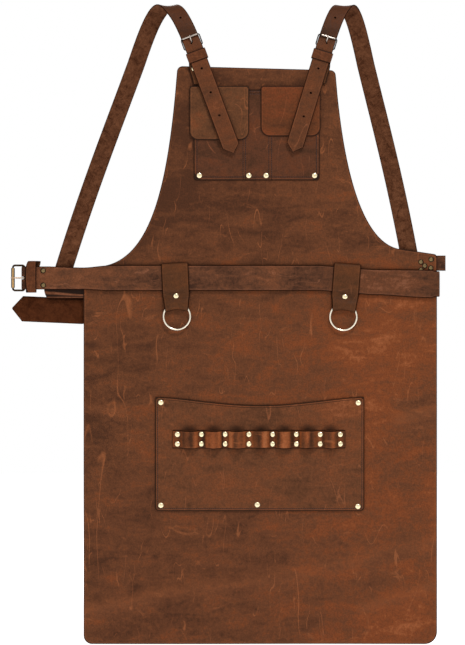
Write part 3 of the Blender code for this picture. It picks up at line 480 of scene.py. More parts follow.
def cut_edge(name, colour):
    """A burnished cut edge, streaked along its length."""
    shader = Shader(name)
    streaks = shader.noise(shader.attribute("grain_at", "Vector"), *EDGE_STREAKS)
    colour = shader.mix(shader.step(streaks, 0.35, 0.65), shade(colour, 0.45), colour)
    # Painted shade: the edge is darkened where other parts lie close to it.
    colour = shader.mix(1.0, colour, shader.contact_shade(6 * MM, 0.04), "MULTIPLY")
    shader.dress(colour, 0.6, streaks, 0.5, 0.3 * MM)
    shader.set("Specular IOR Level", 0.0)
    return shader.material


def thread_material(name, colour):
    shader = Shader(name)
    strands = shader.noise(shader.attribute("grain_at", "Vector"), *STRANDS)
    shader.dress(shader.mix(strands, shade(colour, 0.5), colour), 0.6, strands, 0.4, 0.1 * MM)
    return shader.material


def metal(name, bright, dark, amount, roughness, turned=(0.35, 0.85)):
    """Plated wire or cap: tarnish in broad patches, fine handling marks, painted shade where turned
    away.

    amount is how tarnished it is; turned is where facing away starts and ends the painted shade."""
    shader = Shader(name)
    place = shader.tree.nodes.new("ShaderNodeTexCoord").outputs["Object"]
    tarnish = shader.noise(place, *TARNISH)
    marks = shader.noise(shader.stretch(place, (1.0, 1.0, 6.0)), *MARKS)
    dull = shader.step(tarnish, 0.62 - 0.3 * amount, 0.80 - 0.2 * amount, 0.0, 0.25 + 0.6 * amount)
    facing = shader.tree.nodes.new("ShaderNodeLayerWeight").outputs["Facing"]
    # Painted shade: darker where the surface turns away from the eye, for a dark outline round a
    # bright core.
    colour = shader.mix(shader.step(facing, *turned, 0.0, 0.92), shader.mix(dull, bright, dark), dark)
    shader.dress(colour, shader.step(marks, 0.3, 0.7, roughness, roughness + 0.16), marks, 0.15,
                 0.1 * MM)
    shader.set("Metallic", 1.0)
    shader.set("Specular Tint", shade(bright, 0.35))
    return shader.material


# ---------------------------------------------------------------- mesh building


def smooth(t):
    t = min(1.0, max(0.0, t))
    return t * t * (3 - 2 * t)


def add_object(name, data):
    found = bpy.data.objects.new(name, data)
    bpy.context.scene.collection.objects.link(found)
    return found


def box_middle(node):
    low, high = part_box(node)
    return (low.x + high.x) / 2, (low.z + high.z) / 2


def span(points, i, closed=False):
    """From the point before the i-th to the one after it."""
    if closed:
        return points[(i + 1) % len(points)] - points[i - 1]
    return points[min(i + 1, len(points) - 1)] - points[max(i - 1, 0)]


def skin(rings, around, closed=False):
    """Faces between rings of points, each with as many points around."""
    faces = []
    for i in range(rings if closed else rings - 1):
        here, there = i * around, (i + 1) % rings * around
        for k in range(around):
            after = (k + 1) % around
            faces.append((here + k, here + after, there + after, there + k))
    return faces


def ends(rings, around):
    return [tuple(range(around)), tuple(range((rings - 1) * around, rings * around))]


def finish_mesh(name, points, faces, slots, materials, values, sharp=50):
    """An object from points and faces, with per-face slots and per-point float or vector values."""
    mesh = bpy.data.meshes.new(name)
    mesh.from_pydata([tuple(point) for point in points], [], faces)
    for material in materials:
        mesh.materials.append(material)
    mesh.polygons.foreach_set("material_index", slots)
    for key, found in values.items():
        found = np.asarray(found, np.float32)
        kind, field = ("FLOAT_VECTOR", "vector") if found.ndim == 2 else ("FLOAT", "value")
        layer = mesh.attributes.new(key, kind, "POINT")
        layer.data.foreach_set(field, found.ravel())
    work = bmesh.new()
    work.from_mesh(mesh)
    bmesh.ops.recalc_face_normals(work, faces=work.faces)
    work.to_mesh(mesh)
    work.free()
    mesh.shade_smooth()
    mesh.set_sharp_from_angle(angle=math.radians(sharp))
    return add_object(name, mesh)


def settle(piece, body, slot_name, *nodes):
    """Puts a finished piece on its body, or only bakes its transform when body is a tuple, in
    place of the CAD nodes it stands for; slot_name is not used.
    """
    if isinstance(body, tuple):
        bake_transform(piece)
    else:
        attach(piece, body)
    if nodes:
        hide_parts(*nodes)
    return piece


def front_outline(node):
    """The loop (x, z) round the front face of a flat CAD sheet."""
    work = bmesh.new()
    work.from_mesh(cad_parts[node].data)
    bmesh.ops.remove_doubles(work, verts=work.verts, dist=0.01 * MM)
    low = min(vert.co.y for vert in work.verts)
    flat = {face for face in work.faces if all(v.co.y - low < 0.01 * MM for v in face.verts)}
    links = {}
    for edge in work.edges:
        if sum(face in flat for face in edge.link_faces) == 1:
            first, second = edge.verts
            links.setdefault(first, []).append(second)
            links.setdefault(second, []).append(first)
    loops = []
    unused = set(links)
    while unused:
        start = min(unused, key=lambda vert: (vert.co.x, vert.co.z))
        loop, here, before = [start], links[start][0], start
        while here is not start:
            loop.append(here)
            here, before = next(v for v in links[here] if v is not before), here
        unused -= set(loop)
        loops.append([(vert.co.x, vert.co.z) for vert in loop])
    work.free()
    loop = max(loops, key=lambda points: max(p[0] for p in points) - min(p[0] for p in points))
    area = sum(a[0] * b[1] - b[0] * a[1] for a, b in zip(loop, loop[1:] + loop[:1]))
    return loop if area > 0 else loop[::-1]


GENTLE_TURN = (0.004, math.radians(24))
CURVED_EDGE = mm(4, 30)


def rounded_loop(loop):
    """The loop with a point added inside every gently turning edge, on a curve through its ends."""
    count = len(loop)
    points = [Vector(point) for point in loop]
    turns = []
    for i, point in enumerate(points):
        ahead = (points[(i + 1) % count] - point).normalized()
        behind = (point - points[i - 1]).normalized()
        turns.append(math.acos(max(-1.0, min(1.0, ahead.dot(behind)))))
    result = []
    for i, point in enumerate(points):
        after = points[(i + 1) % count]
        result.append(tuple(point))
        length = (after - point).length
        both = turns[i], turns[(i + 1) % count]
        gentle = max(both) < GENTLE_TURN[1] and min(both) > GENTLE_TURN[0]
        if CURVED_EDGE[0] < length < CURVED_EDGE[1] and gentle:
            before = point + (points[i - 1] - point).normalized() * length
            beyond = after + (points[(i + 2) % count] - after).normalized() * length
            result.append(tuple((point + after) * (9 / 16) - (before + beyond) * (1 / 16)))
    return result


def distance_to_loop(places, loop):
    """Distance from each (x, z) place to a closed loop."""
    starts = np.array(loop)
    spans = np.roll(starts, -1, axis=0) - starts
    best = np.full(len(places), np.inf)
    for start, span in zip(starts, spans):
        offset = places - start
        along = np.clip(offset @ span / max(span @ span, 1e-18), 0, 1)
        best = np.minimum(best, np.linalg.norm(offset - along[:, None] * span, axis=1))
    return best


# The lower skirt hangs in shallow waves, with a few soft creases; nothing moves above DRAPE_TOP_Z
DRAPE_TOP_Z = 500 * MM
DRAPE_FULL_Z = 380 * MM
# Each crease: start, end, height and width
FULL_CREASE = 1.5 * MM
CREASES = (
    (mm(-291, 58), mm(-140, 86), 1.5 * MM, 10 * MM),
    (mm(-140, 86), mm(46, 112), 1.0 * MM, 13 * MM),
    (mm(46, 112), mm(291, 167), 0.8 * MM, 15 * MM),
    (mm(168, 58), mm(291, 99), 1.3 * MM, 9 * MM),
    (mm(228, 372), mm(292, 388), 1.4 * MM, 10 * MM),
    (mm(-291, 398), mm(-232, 382), 1.0 * MM, 11 * MM),
    (mm(-150, 84), mm(-172, 200), 0.5 * MM, 6 * MM),
)


def crease_amounts(places):
    """How strongly each (x, z) place lies on a crease, and how far the crease lifts it forwards."""
    strength = np.zeros(len(places))
    lift = np.zeros(len(places))
    for start, end, height, width in CREASES:
        start, span = np.array(start), np.array(end) - np.array(start)
        t = (places - start) @ span / (span @ span)
        inside = np.clip(t, 0, 1)
        away = np.linalg.norm(places - start - inside[:, None] * span, axis=1)
        ridge = np.exp(-((away / width) ** 2))
        strength = np.maximum(strength, ridge * height / FULL_CREASE)
        lift += ridge * height
    return strength, lift


def drape(places):
    """How far backwards (+Y) the skirt's leather lies from flat at each (x, z) place."""
    x, z = places[:, 0], places[:, 1]
    t = np.clip((DRAPE_TOP_Z - z) / (DRAPE_TOP_Z - DRAPE_FULL_Z), 0, 1)
    fade = t * t * (3 - 2 * t)
    lift = crease_amounts(places)[1]
    waves = 1.4 * MM * np.sin(x / (95 * MM) + 0.6) * np.clip(1.15 - z / (420 * MM), 0, 1)
    waves += 0.8 * MM * np.sin(x / (61 * MM) - z / (130 * MM))
    return fade * (waves - lift)


def drape_at(x, z):
    return float(drape(np.array([[x, z]]))[0])


# Places where the body's tone differs: x, z, half width, half height and how much lighter
TONE_SPOTS = (
    (190 * MM, 440 * MM, 120 * MM, 95 * MM, 0.7),
    (300 * MM, 385 * MM, 55 * MM, 60 * MM, -1.6),
    (-300 * MM, 385 * MM, 60 * MM, 70 * MM, -1.2),
    (-60 * MM, 160 * MM, 170 * MM, 120 * MM, -0.45),
)


def side_drift(x, z):
    """Tone of the hide: lighter to the right, darker at both hips and up the bib."""
    tone = 0.6 * math.tanh((x - 10 * MM) / (170 * MM))
    for middle_x, middle_z, width, height, amount in TONE_SPOTS:
        away = ((x - middle_x) / width) ** 2 + ((z - middle_z) / height) ** 2
        tone += amount * math.exp(-away)
    return tone - 1.0 * smooth((z - 580 * MM) / (120 * MM))


# How far in from its cut edge a sheet is rounded, and how much of its thickness goes on each side
RIM = 2.6 * MM
FRONT_ROUNDING = 0.30
BACK_ROUNDING = 0.22


def sheet(name, loop, front_y, thickness, materials, cell, draped=False, drift=0.0, ease=None,
          grime=None):
    """A sheet of leather: rounded cut edges, grain in front, flesh side behind.

    cell is the size of its faces; ease(x, z) moves the leather backwards; drift is a tone, or a
    function of (x, z), and the darkening, also a function of (x, z), is mostly painted shade."""
    work = bmesh.new()
    face = work.faces.new([work.verts.new((x, 0.0, z)) for x, z in loop])
    bmesh.ops.inset_region(work, faces=[face], thickness=RIM, use_even_offset=True)
    xs, zs = [p[0] for p in loop], [p[1] for p in loop]
    for axis, low, high in ((0, min(xs), max(xs)), (2, min(zs), max(zs))):
        direction = Vector((1, 0, 0)) if axis == 0 else Vector((0, 0, 1))
        steps = max(1, round((high - low) / cell))
        for i in range(1, steps):
            where = direction * (low + (high - low) * i / steps)
            whole = work.verts[:] + work.edges[:] + work.faces[:]
            bmesh.ops.bisect_plane(work, geom=whole, plane_co=where, plane_no=direction, dist=1e-6)
    work.verts.ensure_lookup_table()
    work.verts.index_update()
    places = np.array([(vert.co.x, vert.co.z) for vert in work.verts])
    faces = [[vert.index for vert in found.verts] for found in work.faces]
    rims = [[vert.index for vert in edge.verts] for edge in work.edges if edge.is_boundary]
    work.free()

    from_edge = distance_to_loop(places, loop)
    fall = np.clip(1 - from_edge / RIM, 0, 1) ** 2
    shift = drape(places) if draped else np.zeros(len(places))
    if ease:
        shift = shift + np.array([ease(x, z) for x, z in places])
    front = front_y + shift + FRONT_ROUNDING * thickness * fall
    behind = front_y + thickness + shift - BACK_ROUNDING * thickness * fall
    count = len(places)
    points = [(x, y, z) for side in (front, behind) for (x, z), y in zip(places, side)]
    both = faces + [[i + count for i in reversed(found)] for found in faces]
    sides = [[a, b, b + count, a + count] for a, b in rims]
    slots = [0] * len(faces) + [1] * len(faces) + [2] * len(sides)
    tones = [drift(x, z) if callable(drift) else drift for x, z in places] * 2
    creased = np.tile(crease_amounts(places)[0], 2) if draped else np.zeros(2 * count)
    values = {
        "grain_at": [(x, y - front_y, z) for x, y, z in points],
        "edge_mm": np.tile(from_edge / MM, 2),
        "drift": tones,
        "crease": creased,
        "grime": [grime(x, z) if grime else 0.0 for x, z in places] * 2,
    }
    return finish_mesh(name, points, both + sides, slots, materials, values)


# A strap's cross-section: across from -1 to 1 and depth from -0.5 (behind) to 0.5 (in front)
SECTION = ((-1.0, 0.18), (-0.955, 0.42), (-0.80, 0.495), (-0.4, 0.5), (0.0, 0.5), (0.4, 0.5),
           (0.80, 0.495), (0.955, 0.42), (1.0, 0.18))


FINE_STEPS = 14


def section_points(fine):
    flat = [(k / FINE_STEPS, 0.5) for k in range(-FINE_STEPS, FINE_STEPS + 1)]
    front = flat if fine else list(SECTION)
    return front + [(across, -depth) for across, depth in reversed(front)]


def ribbon(name, stations, thickness, materials, closed=False, drift=0.0, lie=0.0, grime=None,
           fine=False):
    """A strap through stations of (centre, half width vector, outward normal): grain outside.

    drift is a tone, or a function of the part of its length travelled; lie shifts the texture so
    that neighbouring straps differ; the darkening, a function of place, is mostly painted shade;
    fine gives its face more points."""
    section = section_points(fine)
    around = len(section)
    points, marks, edges, darkness = [], [], [], []
    travelled = 0.0
    for i, (centre, half, normal) in enumerate(stations):
        if i:
            travelled += (centre - stations[i - 1][0]).length
        for across, depth in section:
            points.append(centre + half * across + normal * (depth * thickness))
            marks.append((half.length * across + lie, depth * thickness, travelled))
            edges.append(half.length * (1 - abs(across)) / MM)
            darkness.append(grime(points[-1]) if grime else 0.0)
    count = len(stations)
    faces = skin(count, around, closed)
    last = around // 2 - 1
    cut = (0, last - 1, last, last + 1, around - 2, around - 1)
    strips = [2 if k in cut else 0 if k < last else 1 for k in range(around)]
    slots = strips * (len(faces) // around)
    if not closed:
        faces += ends(count, around)
        slots += [2, 2]
    total = max(travelled, 1e-6)
    values = {
        "grain_at": marks,
        "edge_mm": edges,
        "crease": [0.0] * len(points),
        "grime": darkness,
        "drift": [drift(mark[2] / total) if callable(drift) else drift for mark in marks],
    }
    return finish_mesh(name, points, faces, slots, materials, values)


def along_path(points, normals, halves):
    """Stations whose half width lies across the path and its outward normal."""
    stations = []
    for i, point in enumerate(points):
        ahead = span(points, i)
        across = ahead.cross(normals[i]).normalized()
        stations.append((point, across * halves[i], across.cross(ahead).normalized()))
    return stations


def curve_through(points, spacing, closed=False):
    """Evenly close points on a smooth curve through the given ones."""
    count = len(points)
    result = []
    for i in range(count if closed else count - 1):
        p1, p2 = points[i], points[(i + 1) % count]
        p0 = points[i - 1] if closed or i else p1 * 2 - p2
        p3 = points[(i + 2) % count] if closed or i + 2 < count else p2 * 2 - p1
        steps = max(1, round((p2 - p1).length / spacing))
        for k in range(steps):
            t = k / steps
            result.append(0.5 * (2 * p1 + (p2 - p0) * t + (2 * p0 - 5 * p1 + 4 * p2 - p3) * t * t
                                 + (3 * p1 - p0 - 3 * p2 + p3) * t**3))
    if not closed:
        result.append(points[-1])
    return result


def tube(name, points, radii, flat_normal, material, closed=False, sides=TUBE_SIDES):
    """Round wire along a path that lies in one plane; radii is one number or one per point."""
    count = len(points)
    if not isinstance(radii, list):
        radii = [radii] * count
    rows = []
    for i, point in enumerate(points):
        across = span(points, i, closed).cross(flat_normal).normalized()
        for k in range(sides):
            angle = math.tau * k / sides
            lift = across * math.cos(angle) + flat_normal * math.sin(angle)
            rows.append(point + lift * radii[i])
    faces = skin(count, sides, closed)
    if not closed:
        faces += ends(count, sides)
    return finish_mesh(name, rows, faces, [0] * len(faces), [material], {}, sharp=40)


def lathe_points(profile, steps):
    """Points and faces of a profile of (radius, height) turned about the height axis."""
    points = []
    for radius, height in profile:
        for k in range(steps):
            angle = math.tau * k / steps
            points.append((radius * math.cos(angle), height, radius * math.sin(angle)))
    return points, skin(len(profile), steps)


def merged(name, parts, material):
    """One object from several (points, faces) shells."""
    points, faces = [], []
    for some_points, some_faces in parts:
        base = len(points)
        points += some_points
        faces += [tuple(base + i for i in face) for face in some_faces]
    marks = {"grain_at": [tuple(point) for point in points]}
    return finish_mesh(name, points, faces, [0] * len(faces), [material], marks, sharp=45)


CAP_PROFILE = ((0.02, -1.0), (0.22, -0.985), (0.42, -0.93), (0.60, -0.83), (0.76, -0.66),
               (0.89, -0.42), (0.97, -0.16), (1.0, 0.06), (0.97, 0.22), (0.5, 0.28), (0.02, 0.28))
BACK_PROFILE = ((0.02, 0.75), (0.16, 0.74), (0.30, 0.86), (0.55, 0.86), (0.80, 0.62),
                (0.92, 0.28), (0.93, -0.10), (0.5, -0.22), (0.02, -0.22))


def rivet_shells(x, z, front_y, back_y, chance):
    """The dome in front and the cap behind of a double cap rivet, hammered a little unevenly."""
    shells = []
    for profile, face_y, size, rise in ((CAP_PROFILE, front_y, 1.0, CAP_RISE),
                                        (BACK_PROFILE, back_y, BACK_SIZE, BACK_RISE)):
        scaled = [(CAP_RADIUS * size * radius, rise * height) for radius, height in profile]
        points, faces = lathe_points(scaled, LATHE_SIDES)
        tilt = Matrix.Rotation(math.radians(chance.uniform(*RIVET_TILT_DEGREES)), 4, "X")
        tilt @= Matrix.Rotation(math.radians(chance.uniform(*RIVET_TILT_DEGREES)), 4, "Z")
        shift = Matrix.Translation((x, face_y, z))
        faces += ends(len(profile), LATHE_SIDES)
        shells.append(([shift @ tilt @ Vector(point) for point in points], faces))
    return shells


# A stitch's thickness along its length, how far its ends dip, how flat it is and how it slants
STITCH_SHAPE = ((-0.5, 0.35), (-0.36, 0.9), (0.0, 1.0), (0.36, 0.9), (0.5, 0.35))
STITCH_DIP = 0.30 * MM
STITCH_FLAT = 1.15
STITCH_SLANT = 0.10


def stitches(name, runs, material):
    """Short capsules of thread along runs of points; each run is (points, outward normal)."""
    shells = []
    sides = THREAD_SIDES
    for points, normal in runs:
        lengths = [0.0]
        for first, second in zip(points, points[1:]):
            lengths.append(lengths[-1] + (second - first).length)
        count = max(1, round(lengths[-1] / STITCH_PITCH))
        segment = 0
        for i in range(count):
            where = lengths[-1] * (i + 0.5) / count
            while lengths[segment + 1] < where:
                segment += 1
            first, second = points[segment], points[segment + 1]
            t = (where - lengths[segment]) / (lengths[segment + 1] - lengths[segment])
            centre = first.lerp(second, t)
            along = (second - first).normalized()
            across = along.cross(normal).normalized()
            along = (along + across * STITCH_SLANT).normalized()
            rows = []
            for reach, size in STITCH_SHAPE:
                dip = -STITCH_DIP * (2 * reach) ** 2
                for k in range(sides):
                    angle = math.tau * k / sides
                    lift = across * math.cos(angle) * STITCH_FLAT + normal * math.sin(angle)
                    rows.append(centre + along * (reach * STITCH_LENGTH) + normal * dip
                                + lift * (size * THREAD_RADIUS))
            faces = skin(len(STITCH_SHAPE), sides) + ends(len(STITCH_SHAPE), sides)
            shells.append((rows, faces))
    return merged(name, shells, material)


# ---------------------------------------------------------------- materials in use


HIDE_TONES = {
    "body": (srgb(74, 45, 29), srgb(99, 60, 38), srgb(120, 65, 36), srgb(154, 91, 56)),
    "pocket": (srgb(62, 40, 26), srgb(85, 52, 35), srgb(98, 55, 33), srgb(133, 78, 50)),
    "tool": (srgb(72, 46, 29), srgb(99, 61, 39), srgb(116, 66, 39), srgb(150, 89, 57)),
    "flap_left": (srgb(74, 48, 32), srgb(96, 61, 39), srgb(110, 63, 38), srgb(142, 84, 52)),
    "flap_right": (srgb(71, 42, 26), srgb(93, 54, 32), srgb(110, 58, 33), srgb(130, 74, 46)),
    "strip": (srgb(68, 41, 25), srgb(99, 58, 35), srgb(130, 71, 40), srgb(154, 91, 56)),
    "belt": (srgb(62, 39, 27), srgb(90, 57, 39), srgb(109, 66, 43), srgb(136, 86, 61)),
    "strap": (srgb(65, 41, 27), srgb(88, 54, 35), srgb(102, 59, 36), srgb(132, 79, 52)),
    "hanger": (srgb(60, 39, 24), srgb(82, 51, 31), srgb(96, 57, 33), srgb(116, 71, 45)),
    "keeper": (srgb(52, 30, 18), srgb(78, 46, 28), srgb(100, 58, 36), srgb(122, 73, 47)),
}


# Each metal: name, bright and dark colour, tarnish, roughness and where turning away paints shade on
# it
METALS = {
    "brass": ("pale_brass_cap", (0.88, 0.75, 0.48), (0.26, 0.16, 0.05), 0.25, 0.17),
    "antique": ("antique_brass_plate", (0.21, 0.145, 0.066), (0.02, 0.013, 0.008), 0.4, 0.30,
                (0.005, 0.09)),
    "nickel": ("bright_nickel_plate", (0.84, 0.76, 0.61), (0.16, 0.11, 0.06), 0.25, 0.16),
    "black_nickel": ("blackened_nickel_plate", (0.03, 0.022, 0.016), (0.01, 0.007, 0.005), 0.5,
                     0.35),
    "black_brass": ("blackened_brass_plate", (0.035, 0.021, 0.011), (0.012, 0.008, 0.005), 0.5,
                    0.35),
    "roller": ("rubbed_brass_roller", (0.52, 0.32, 0.14), (0.02, 0.012, 0.006), 0.3, 0.28,
               (0.01, 0.17)),
    "prong": ("rubbed_brass_pin", (0.50, 0.34, 0.22), (0.05, 0.03, 0.018), 0.3, 0.28),
    "worn_nickel": ("worn_nickel_plate", (0.50, 0.43, 0.37), (0.08, 0.06, 0.05), 0.4, 0.22),
}


def make_materials():
    found = {}
    special = {
        "pocket": {"seam": CHEST_SEAM_INSET / MM, "upright_seams": DIVIDER_SEAMS_X},
        "tool": {"seam": TOOL_SEAM_INSET / MM},
        "belt": {"flow": BELT_FLOW, "contrast": 1.35, "wear": 0.48},
    }
    for number, (name, tones) in enumerate(HIDE_TONES.items()):
        shift = (0.37 * number, 0.11 * number, 0.53 * number)
        found[name] = grain_leather("hide_" + name, tones, shift, **special.get(name, {}))
    found["suede"] = suede("hide_flesh_side", srgb(92, 58, 38), srgb(128, 86, 60), (0.0, 0.0, 0.0),
                           24.0, 0.35)
    found["strap_suede"] = suede("hide_strap_flesh_side", srgb(56, 31, 18), srgb(112, 72, 50),
                                 (1.3, 0.4, 0.2), 75.0)
    found["belt_suede"] = suede("hide_belt_flesh_side", srgb(56, 29, 15), srgb(86, 48, 28),
                                (2.1, 0.7, 0.9))
    found["edge"] = cut_edge("hide_cut_edge", srgb(52, 30, 19))
    found["thread"] = thread_material("waxed_thread", srgb(66, 38, 26))
    for name, recipe in METALS.items():
        found[name] = metal(*recipe)
    return found


PAINT = make_materials()


def hide(name, flesh="suede"):
    return [PAINT[name], PAINT[flesh], PAINT["edge"]]


# ---------------------------------------------------------------- body and pockets


CHEST_FRONT_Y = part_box("chest_pocket")[0].y
TOOL_FRONT_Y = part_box("tool_pocket")[0].y
STRIP_LOW, STRIP_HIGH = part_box("tool_loop_strip")


def numbered(stem, count):
    return [f"{stem}_{number:02d}" for number in range(1, count + 1)]


# The x of each pair of rivets on the tool loop strip
LOOP_COLUMNS = sorted({round(box_middle(node)[0], 4) for node in numbered("tool_loop_rivet", 16)})


def panel(node, body, slot_name, paint, front_y, thickness, **more):
    """A sheet with the outline of the CAD node that it replaces."""
    loop = rounded_loop(front_outline(node))
    piece = sheet(node + "_hide", loop, front_y, thickness, hide(paint), **more)
    settle(piece, body, slot_name, node)


def make_panels():
    panel("apron_body", "root", "grain_leather", "body", 0.0, BODY_THICK, cell=8 * MM, draped=True,
          drift=side_drift)
    panel("chest_pocket", "root", "grain_leather", "pocket", CHEST_FRONT_Y, POCKET_THICK,
          cell=11 * MM, drift=lambda x, z: 0.5 * math.sin(x / (40 * MM)) - 0.3)
    panel("tool_pocket", "root", "grain_leather", "tool", TOOL_FRONT_Y, POCKET_THICK,
          cell=4.5 * MM, draped=True, drift=lambda x, z: 0.4 * side_drift(x, z), grime=loop_grime)


def flap_crown(low, high):
    """A flap bellies forward a little between its edges."""

    def ease(x, z):
        across = (x - low.x) / (high.x - low.x)
        down = (high.z - z) / (high.z - low.z)
        return -FLAP_BELLY * (math.sin(math.pi * across) * math.sin(math.pi * min(1.0, down)))

    return ease


def make_flap(side):
    """A flap hangs from its stitched top and bellies forwards a little between its edges."""
    name = "pocket_flap_" + SIDES[side]
    low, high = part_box(name)
    top, bend_end = Vector((0, low.y, high.z)), Vector((0, low.y, high.z - FLAP_BEND))
    panel(name, ("root", "flap_" + SIDES[side], top, bend_end), "red_leather",
          "flap_" + SIDES[side], low.y, FLAP_THICK, cell=3.5 * MM, ease=flap_crown(low, high),
          drift=0.35 * side)


def loop_grime(x, z):
    """The leather is darkened above and below the mouth of each tool loop."""
    darkness = 0.0
    for left, right in zip(LOOP_COLUMNS, LOOP_COLUMNS[1:]):
        across = (x - (left + right) / 2) / (0.30 * (right - left))
        above = (z - STRIP_HIGH.z - 2 * MM) / (6 * MM)
        below = (z - STRIP_LOW.z + 0.5 * MM) / (3.5 * MM)
        darkness = max(darkness, math.exp(-across**2 - above**2), 0.7 * math.exp(-across**2 - below**2))
    return darkness


def strip_lift(t):
    return LOOP_BULGE * math.sin(math.pi * t) ** 0.9


def strip_streaks(t):
    """Folds across the strip catch the light unevenly."""
    return 0.4 + 1.2 * math.sin(61 * t) + 1.0 * math.sin(97 * t + 1.0) + 0.8 * math.sin(171 * t)


def make_tool_loop_strip():
    """The strip lies flat at each pair of rivets and bows forwards between them."""
    base = TOOL_FRONT_Y - GAP - STRIP_THICK / 2
    columns = LOOP_COLUMNS
    middle = (STRIP_LOW.z + STRIP_HIGH.z) / 2
    path = [(columns[0] - LOOP_STRIP_END, 0.0, 0.0), (columns[0], 0.0, 0.0),
            (columns[0] + LOOP_LAND, 0.0, 0.0)]
    chance = random.Random(5)
    for left, right in zip(columns, columns[1:]):
        start, end = left + LOOP_LAND, right - LOOP_LAND
        fullness = chance.uniform(*LOOP_FULLNESS)
        lean = chance.uniform(*LOOP_LEAN)
        sag = chance.uniform(*LOOP_SAG) * MM
        for i in range(1, LOOP_STEPS):
            t = i / LOOP_STEPS
            skew = t + lean * math.sin(math.pi * t) * 0.5
            path.append((start + (end - start) * skew, fullness * strip_lift(t),
                         sag * math.sin(math.pi * t)))
        path += [(end, 0.0, 0.0), (right, 0.0, 0.0), (right + LOOP_LAND, 0.0, 0.0)]
    path[-1] = (columns[-1] + LOOP_STRIP_END, 0.0, 0.0)
    half = Vector((0, 0, (STRIP_HIGH.z - STRIP_LOW.z) / 2 - STRIP_TRIM))
    points = [Vector((x, base - lift + drape_at(x, middle), middle - sag))
              for x, lift, sag in path]
    stations = [(point, half, span(points, i).normalized().cross(UP))
                for i, point in enumerate(points)]
    # Painted shade on the flat lands between the bulges, where the strip lies on the pocket.
    strip = ribbon("tool_loop_strip_hide", stations, STRIP_THICK, hide("strip"), drift=strip_streaks,
                   grime=lambda place: 0.4 * smooth(1.2 - (base - place.y) / (4 * MM)))
    settle(strip, "root", "red_leather", "tool_loop_strip")


# ---------------------------------------------------------------- waist belt


def belt_front_z(x):
    start, end = BELT_STEP_X
    step = BELT_STEP_DROP * min(1.0, max(0.0, (x - start) / (end - start)))
    sag = (BELT_FRONT_Z - BELT_STEP_DROP - BELT_WRAP_Z) * smooth((x - end) / (BELT_WRAP_X - end))
    return BELT_FRONT_Z - step - sag


def belt_bar():
    return Vector((BELT_BAR_X, BELT_FRONT_Y + (BELT_THICK + GAP) / 2, BELT_FRONT_Z))


def belt_path():
    """Centres and half widths from the end folded under the buckle to the tip of the tail."""
    behind = BELT_FRONT_Y + BELT_THICK + GAP
    bar = belt_bar()
    eye = BELT_WIRE + EYE_SLACK + BELT_THICK / 2
    end_half, full_half = BELT_BUCKLE_WIDTH / 2, BELT_WIDTH / 2
    fold_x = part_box("belt_rivet_01")[0].x + CAP_RADIUS - 6 * MM
    path = [(Vector((x, behind, BELT_FRONT_Z)), end_half) for x in
            (BELT_RETURN_X, (BELT_RETURN_X + fold_x) / 2, fold_x)]
    steps = 18
    for i in range(steps + 1):
        angle = math.radians(80 + 200 * i / steps)
        around = Vector((math.cos(angle), math.sin(angle), 0)) * eye
        path.append((bar + around, end_half))
    path.append((Vector((fold_x, BELT_FRONT_Y, BELT_FRONT_Z)), end_half))
    x = fold_x + 10 * MM
    while x < BELT_WRAP_X - 1 * MM:
        widen = smooth((x - BELT_DIP_X) / BELT_WIDENING_REACH)
        dip = math.exp(-(((x - BELT_DIP_X) / BELT_DIP_REACH) ** 2))
        flare = BELT_FLARE * smooth((x - BELT_FLARE_X) / BELT_FLARE_REACH)
        path.append((Vector((x, BELT_FRONT_Y, belt_front_z(x) - BELT_DIP_DEPTH * dip)),
                     end_half + (full_half - end_half) * widen - BELT_DIP_NARROWING * dip + flare))
        x += 7 * MM
    middle_y = (BELT_FRONT_Y + BELT_BACK_Y) / 2
    half_depth = (BELT_BACK_Y - BELT_FRONT_Y) / 2
    steps = 18
    for i in range(steps + 1):
        angle = math.pi * i / steps
        path.append((Vector((BELT_WRAP_X + BELT_WRAP_REACH * math.sin(angle),
                             middle_y - half_depth * math.cos(angle), BELT_WRAP_Z)), full_half))
    start = Vector((BELT_WRAP_X - 12 * MM, BELT_BACK_Y, BELT_WRAP_Z - 1 * MM))
    low = Vector((BELT_TAIL_LOW[0], BELT_BACK_Y, BELT_TAIL_LOW[1]))
    steps = 60
    path += [(start.lerp(low, i / steps), full_half) for i in range(steps + 1)]
    tip = Vector((BELT_TIP[0], BELT_BACK_Y, BELT_TIP[1]))
    shoulder = tip - (tip - low).normalized() * BELT_POINT
    steps = 10
    path += [(low.lerp(shoulder, i / steps), full_half) for i in range(1, steps + 1)]
    steps = 5
    path += [(shoulder.lerp(tip, i / steps), full_half + (1.2 * MM - full_half) * i / steps)
             for i in range(1, steps + 1)]
    return path


def belt_grime(place):
    """Painted shade darkens the fold under the keeper and the back run; the right end is darker than
    the middle.
    """
    fold = 0.9 * smooth((BELT_BAR_X + 5 * MM - place.x) / (4 * MM))
    back = 0.75 * smooth(place.y / (4 * MM))
    return max(fold, back, 0.22 * smooth((place.x - 60 * MM) / (60 * MM)))


def make_belt():
    path = belt_path()
    centres = [point for point, _ in path]
    stations = []
    for i, (point, half) in enumerate(path):
        along = span(centres, i)
        flat = Vector((along.x, along.y, 0)).normalized()
        up = UP
        if abs(along.x) > 4 * abs(along.y):
            up = (up - flat * (along.z / max(along.length, 1e-9))).normalized()
        stations.append((point, up * half, flat.cross(UP)))
    belt = ribbon("waist_belt_hide", stations, BELT_THICK, hide("belt", "belt_suede"),
                  drift=lambda t: 0.5 * math.sin(19 * t) + 0.5 * math.sin(47 * t), lie=4.0,
                  grime=belt_grime)
    cut_through(belt, box_cutter(belt_bar(), BELT_SLOT_HALF, 0.0))
    settle(belt, "root", "belt_leather", "waist_belt")


def cutter_from(work):
    mesh = bpy.data.meshes.new("cutter")
    bmesh.ops.recalc_face_normals(work, faces=work.faces)
    work.to_mesh(mesh)
    work.free()
    return add_object("cutter", mesh)


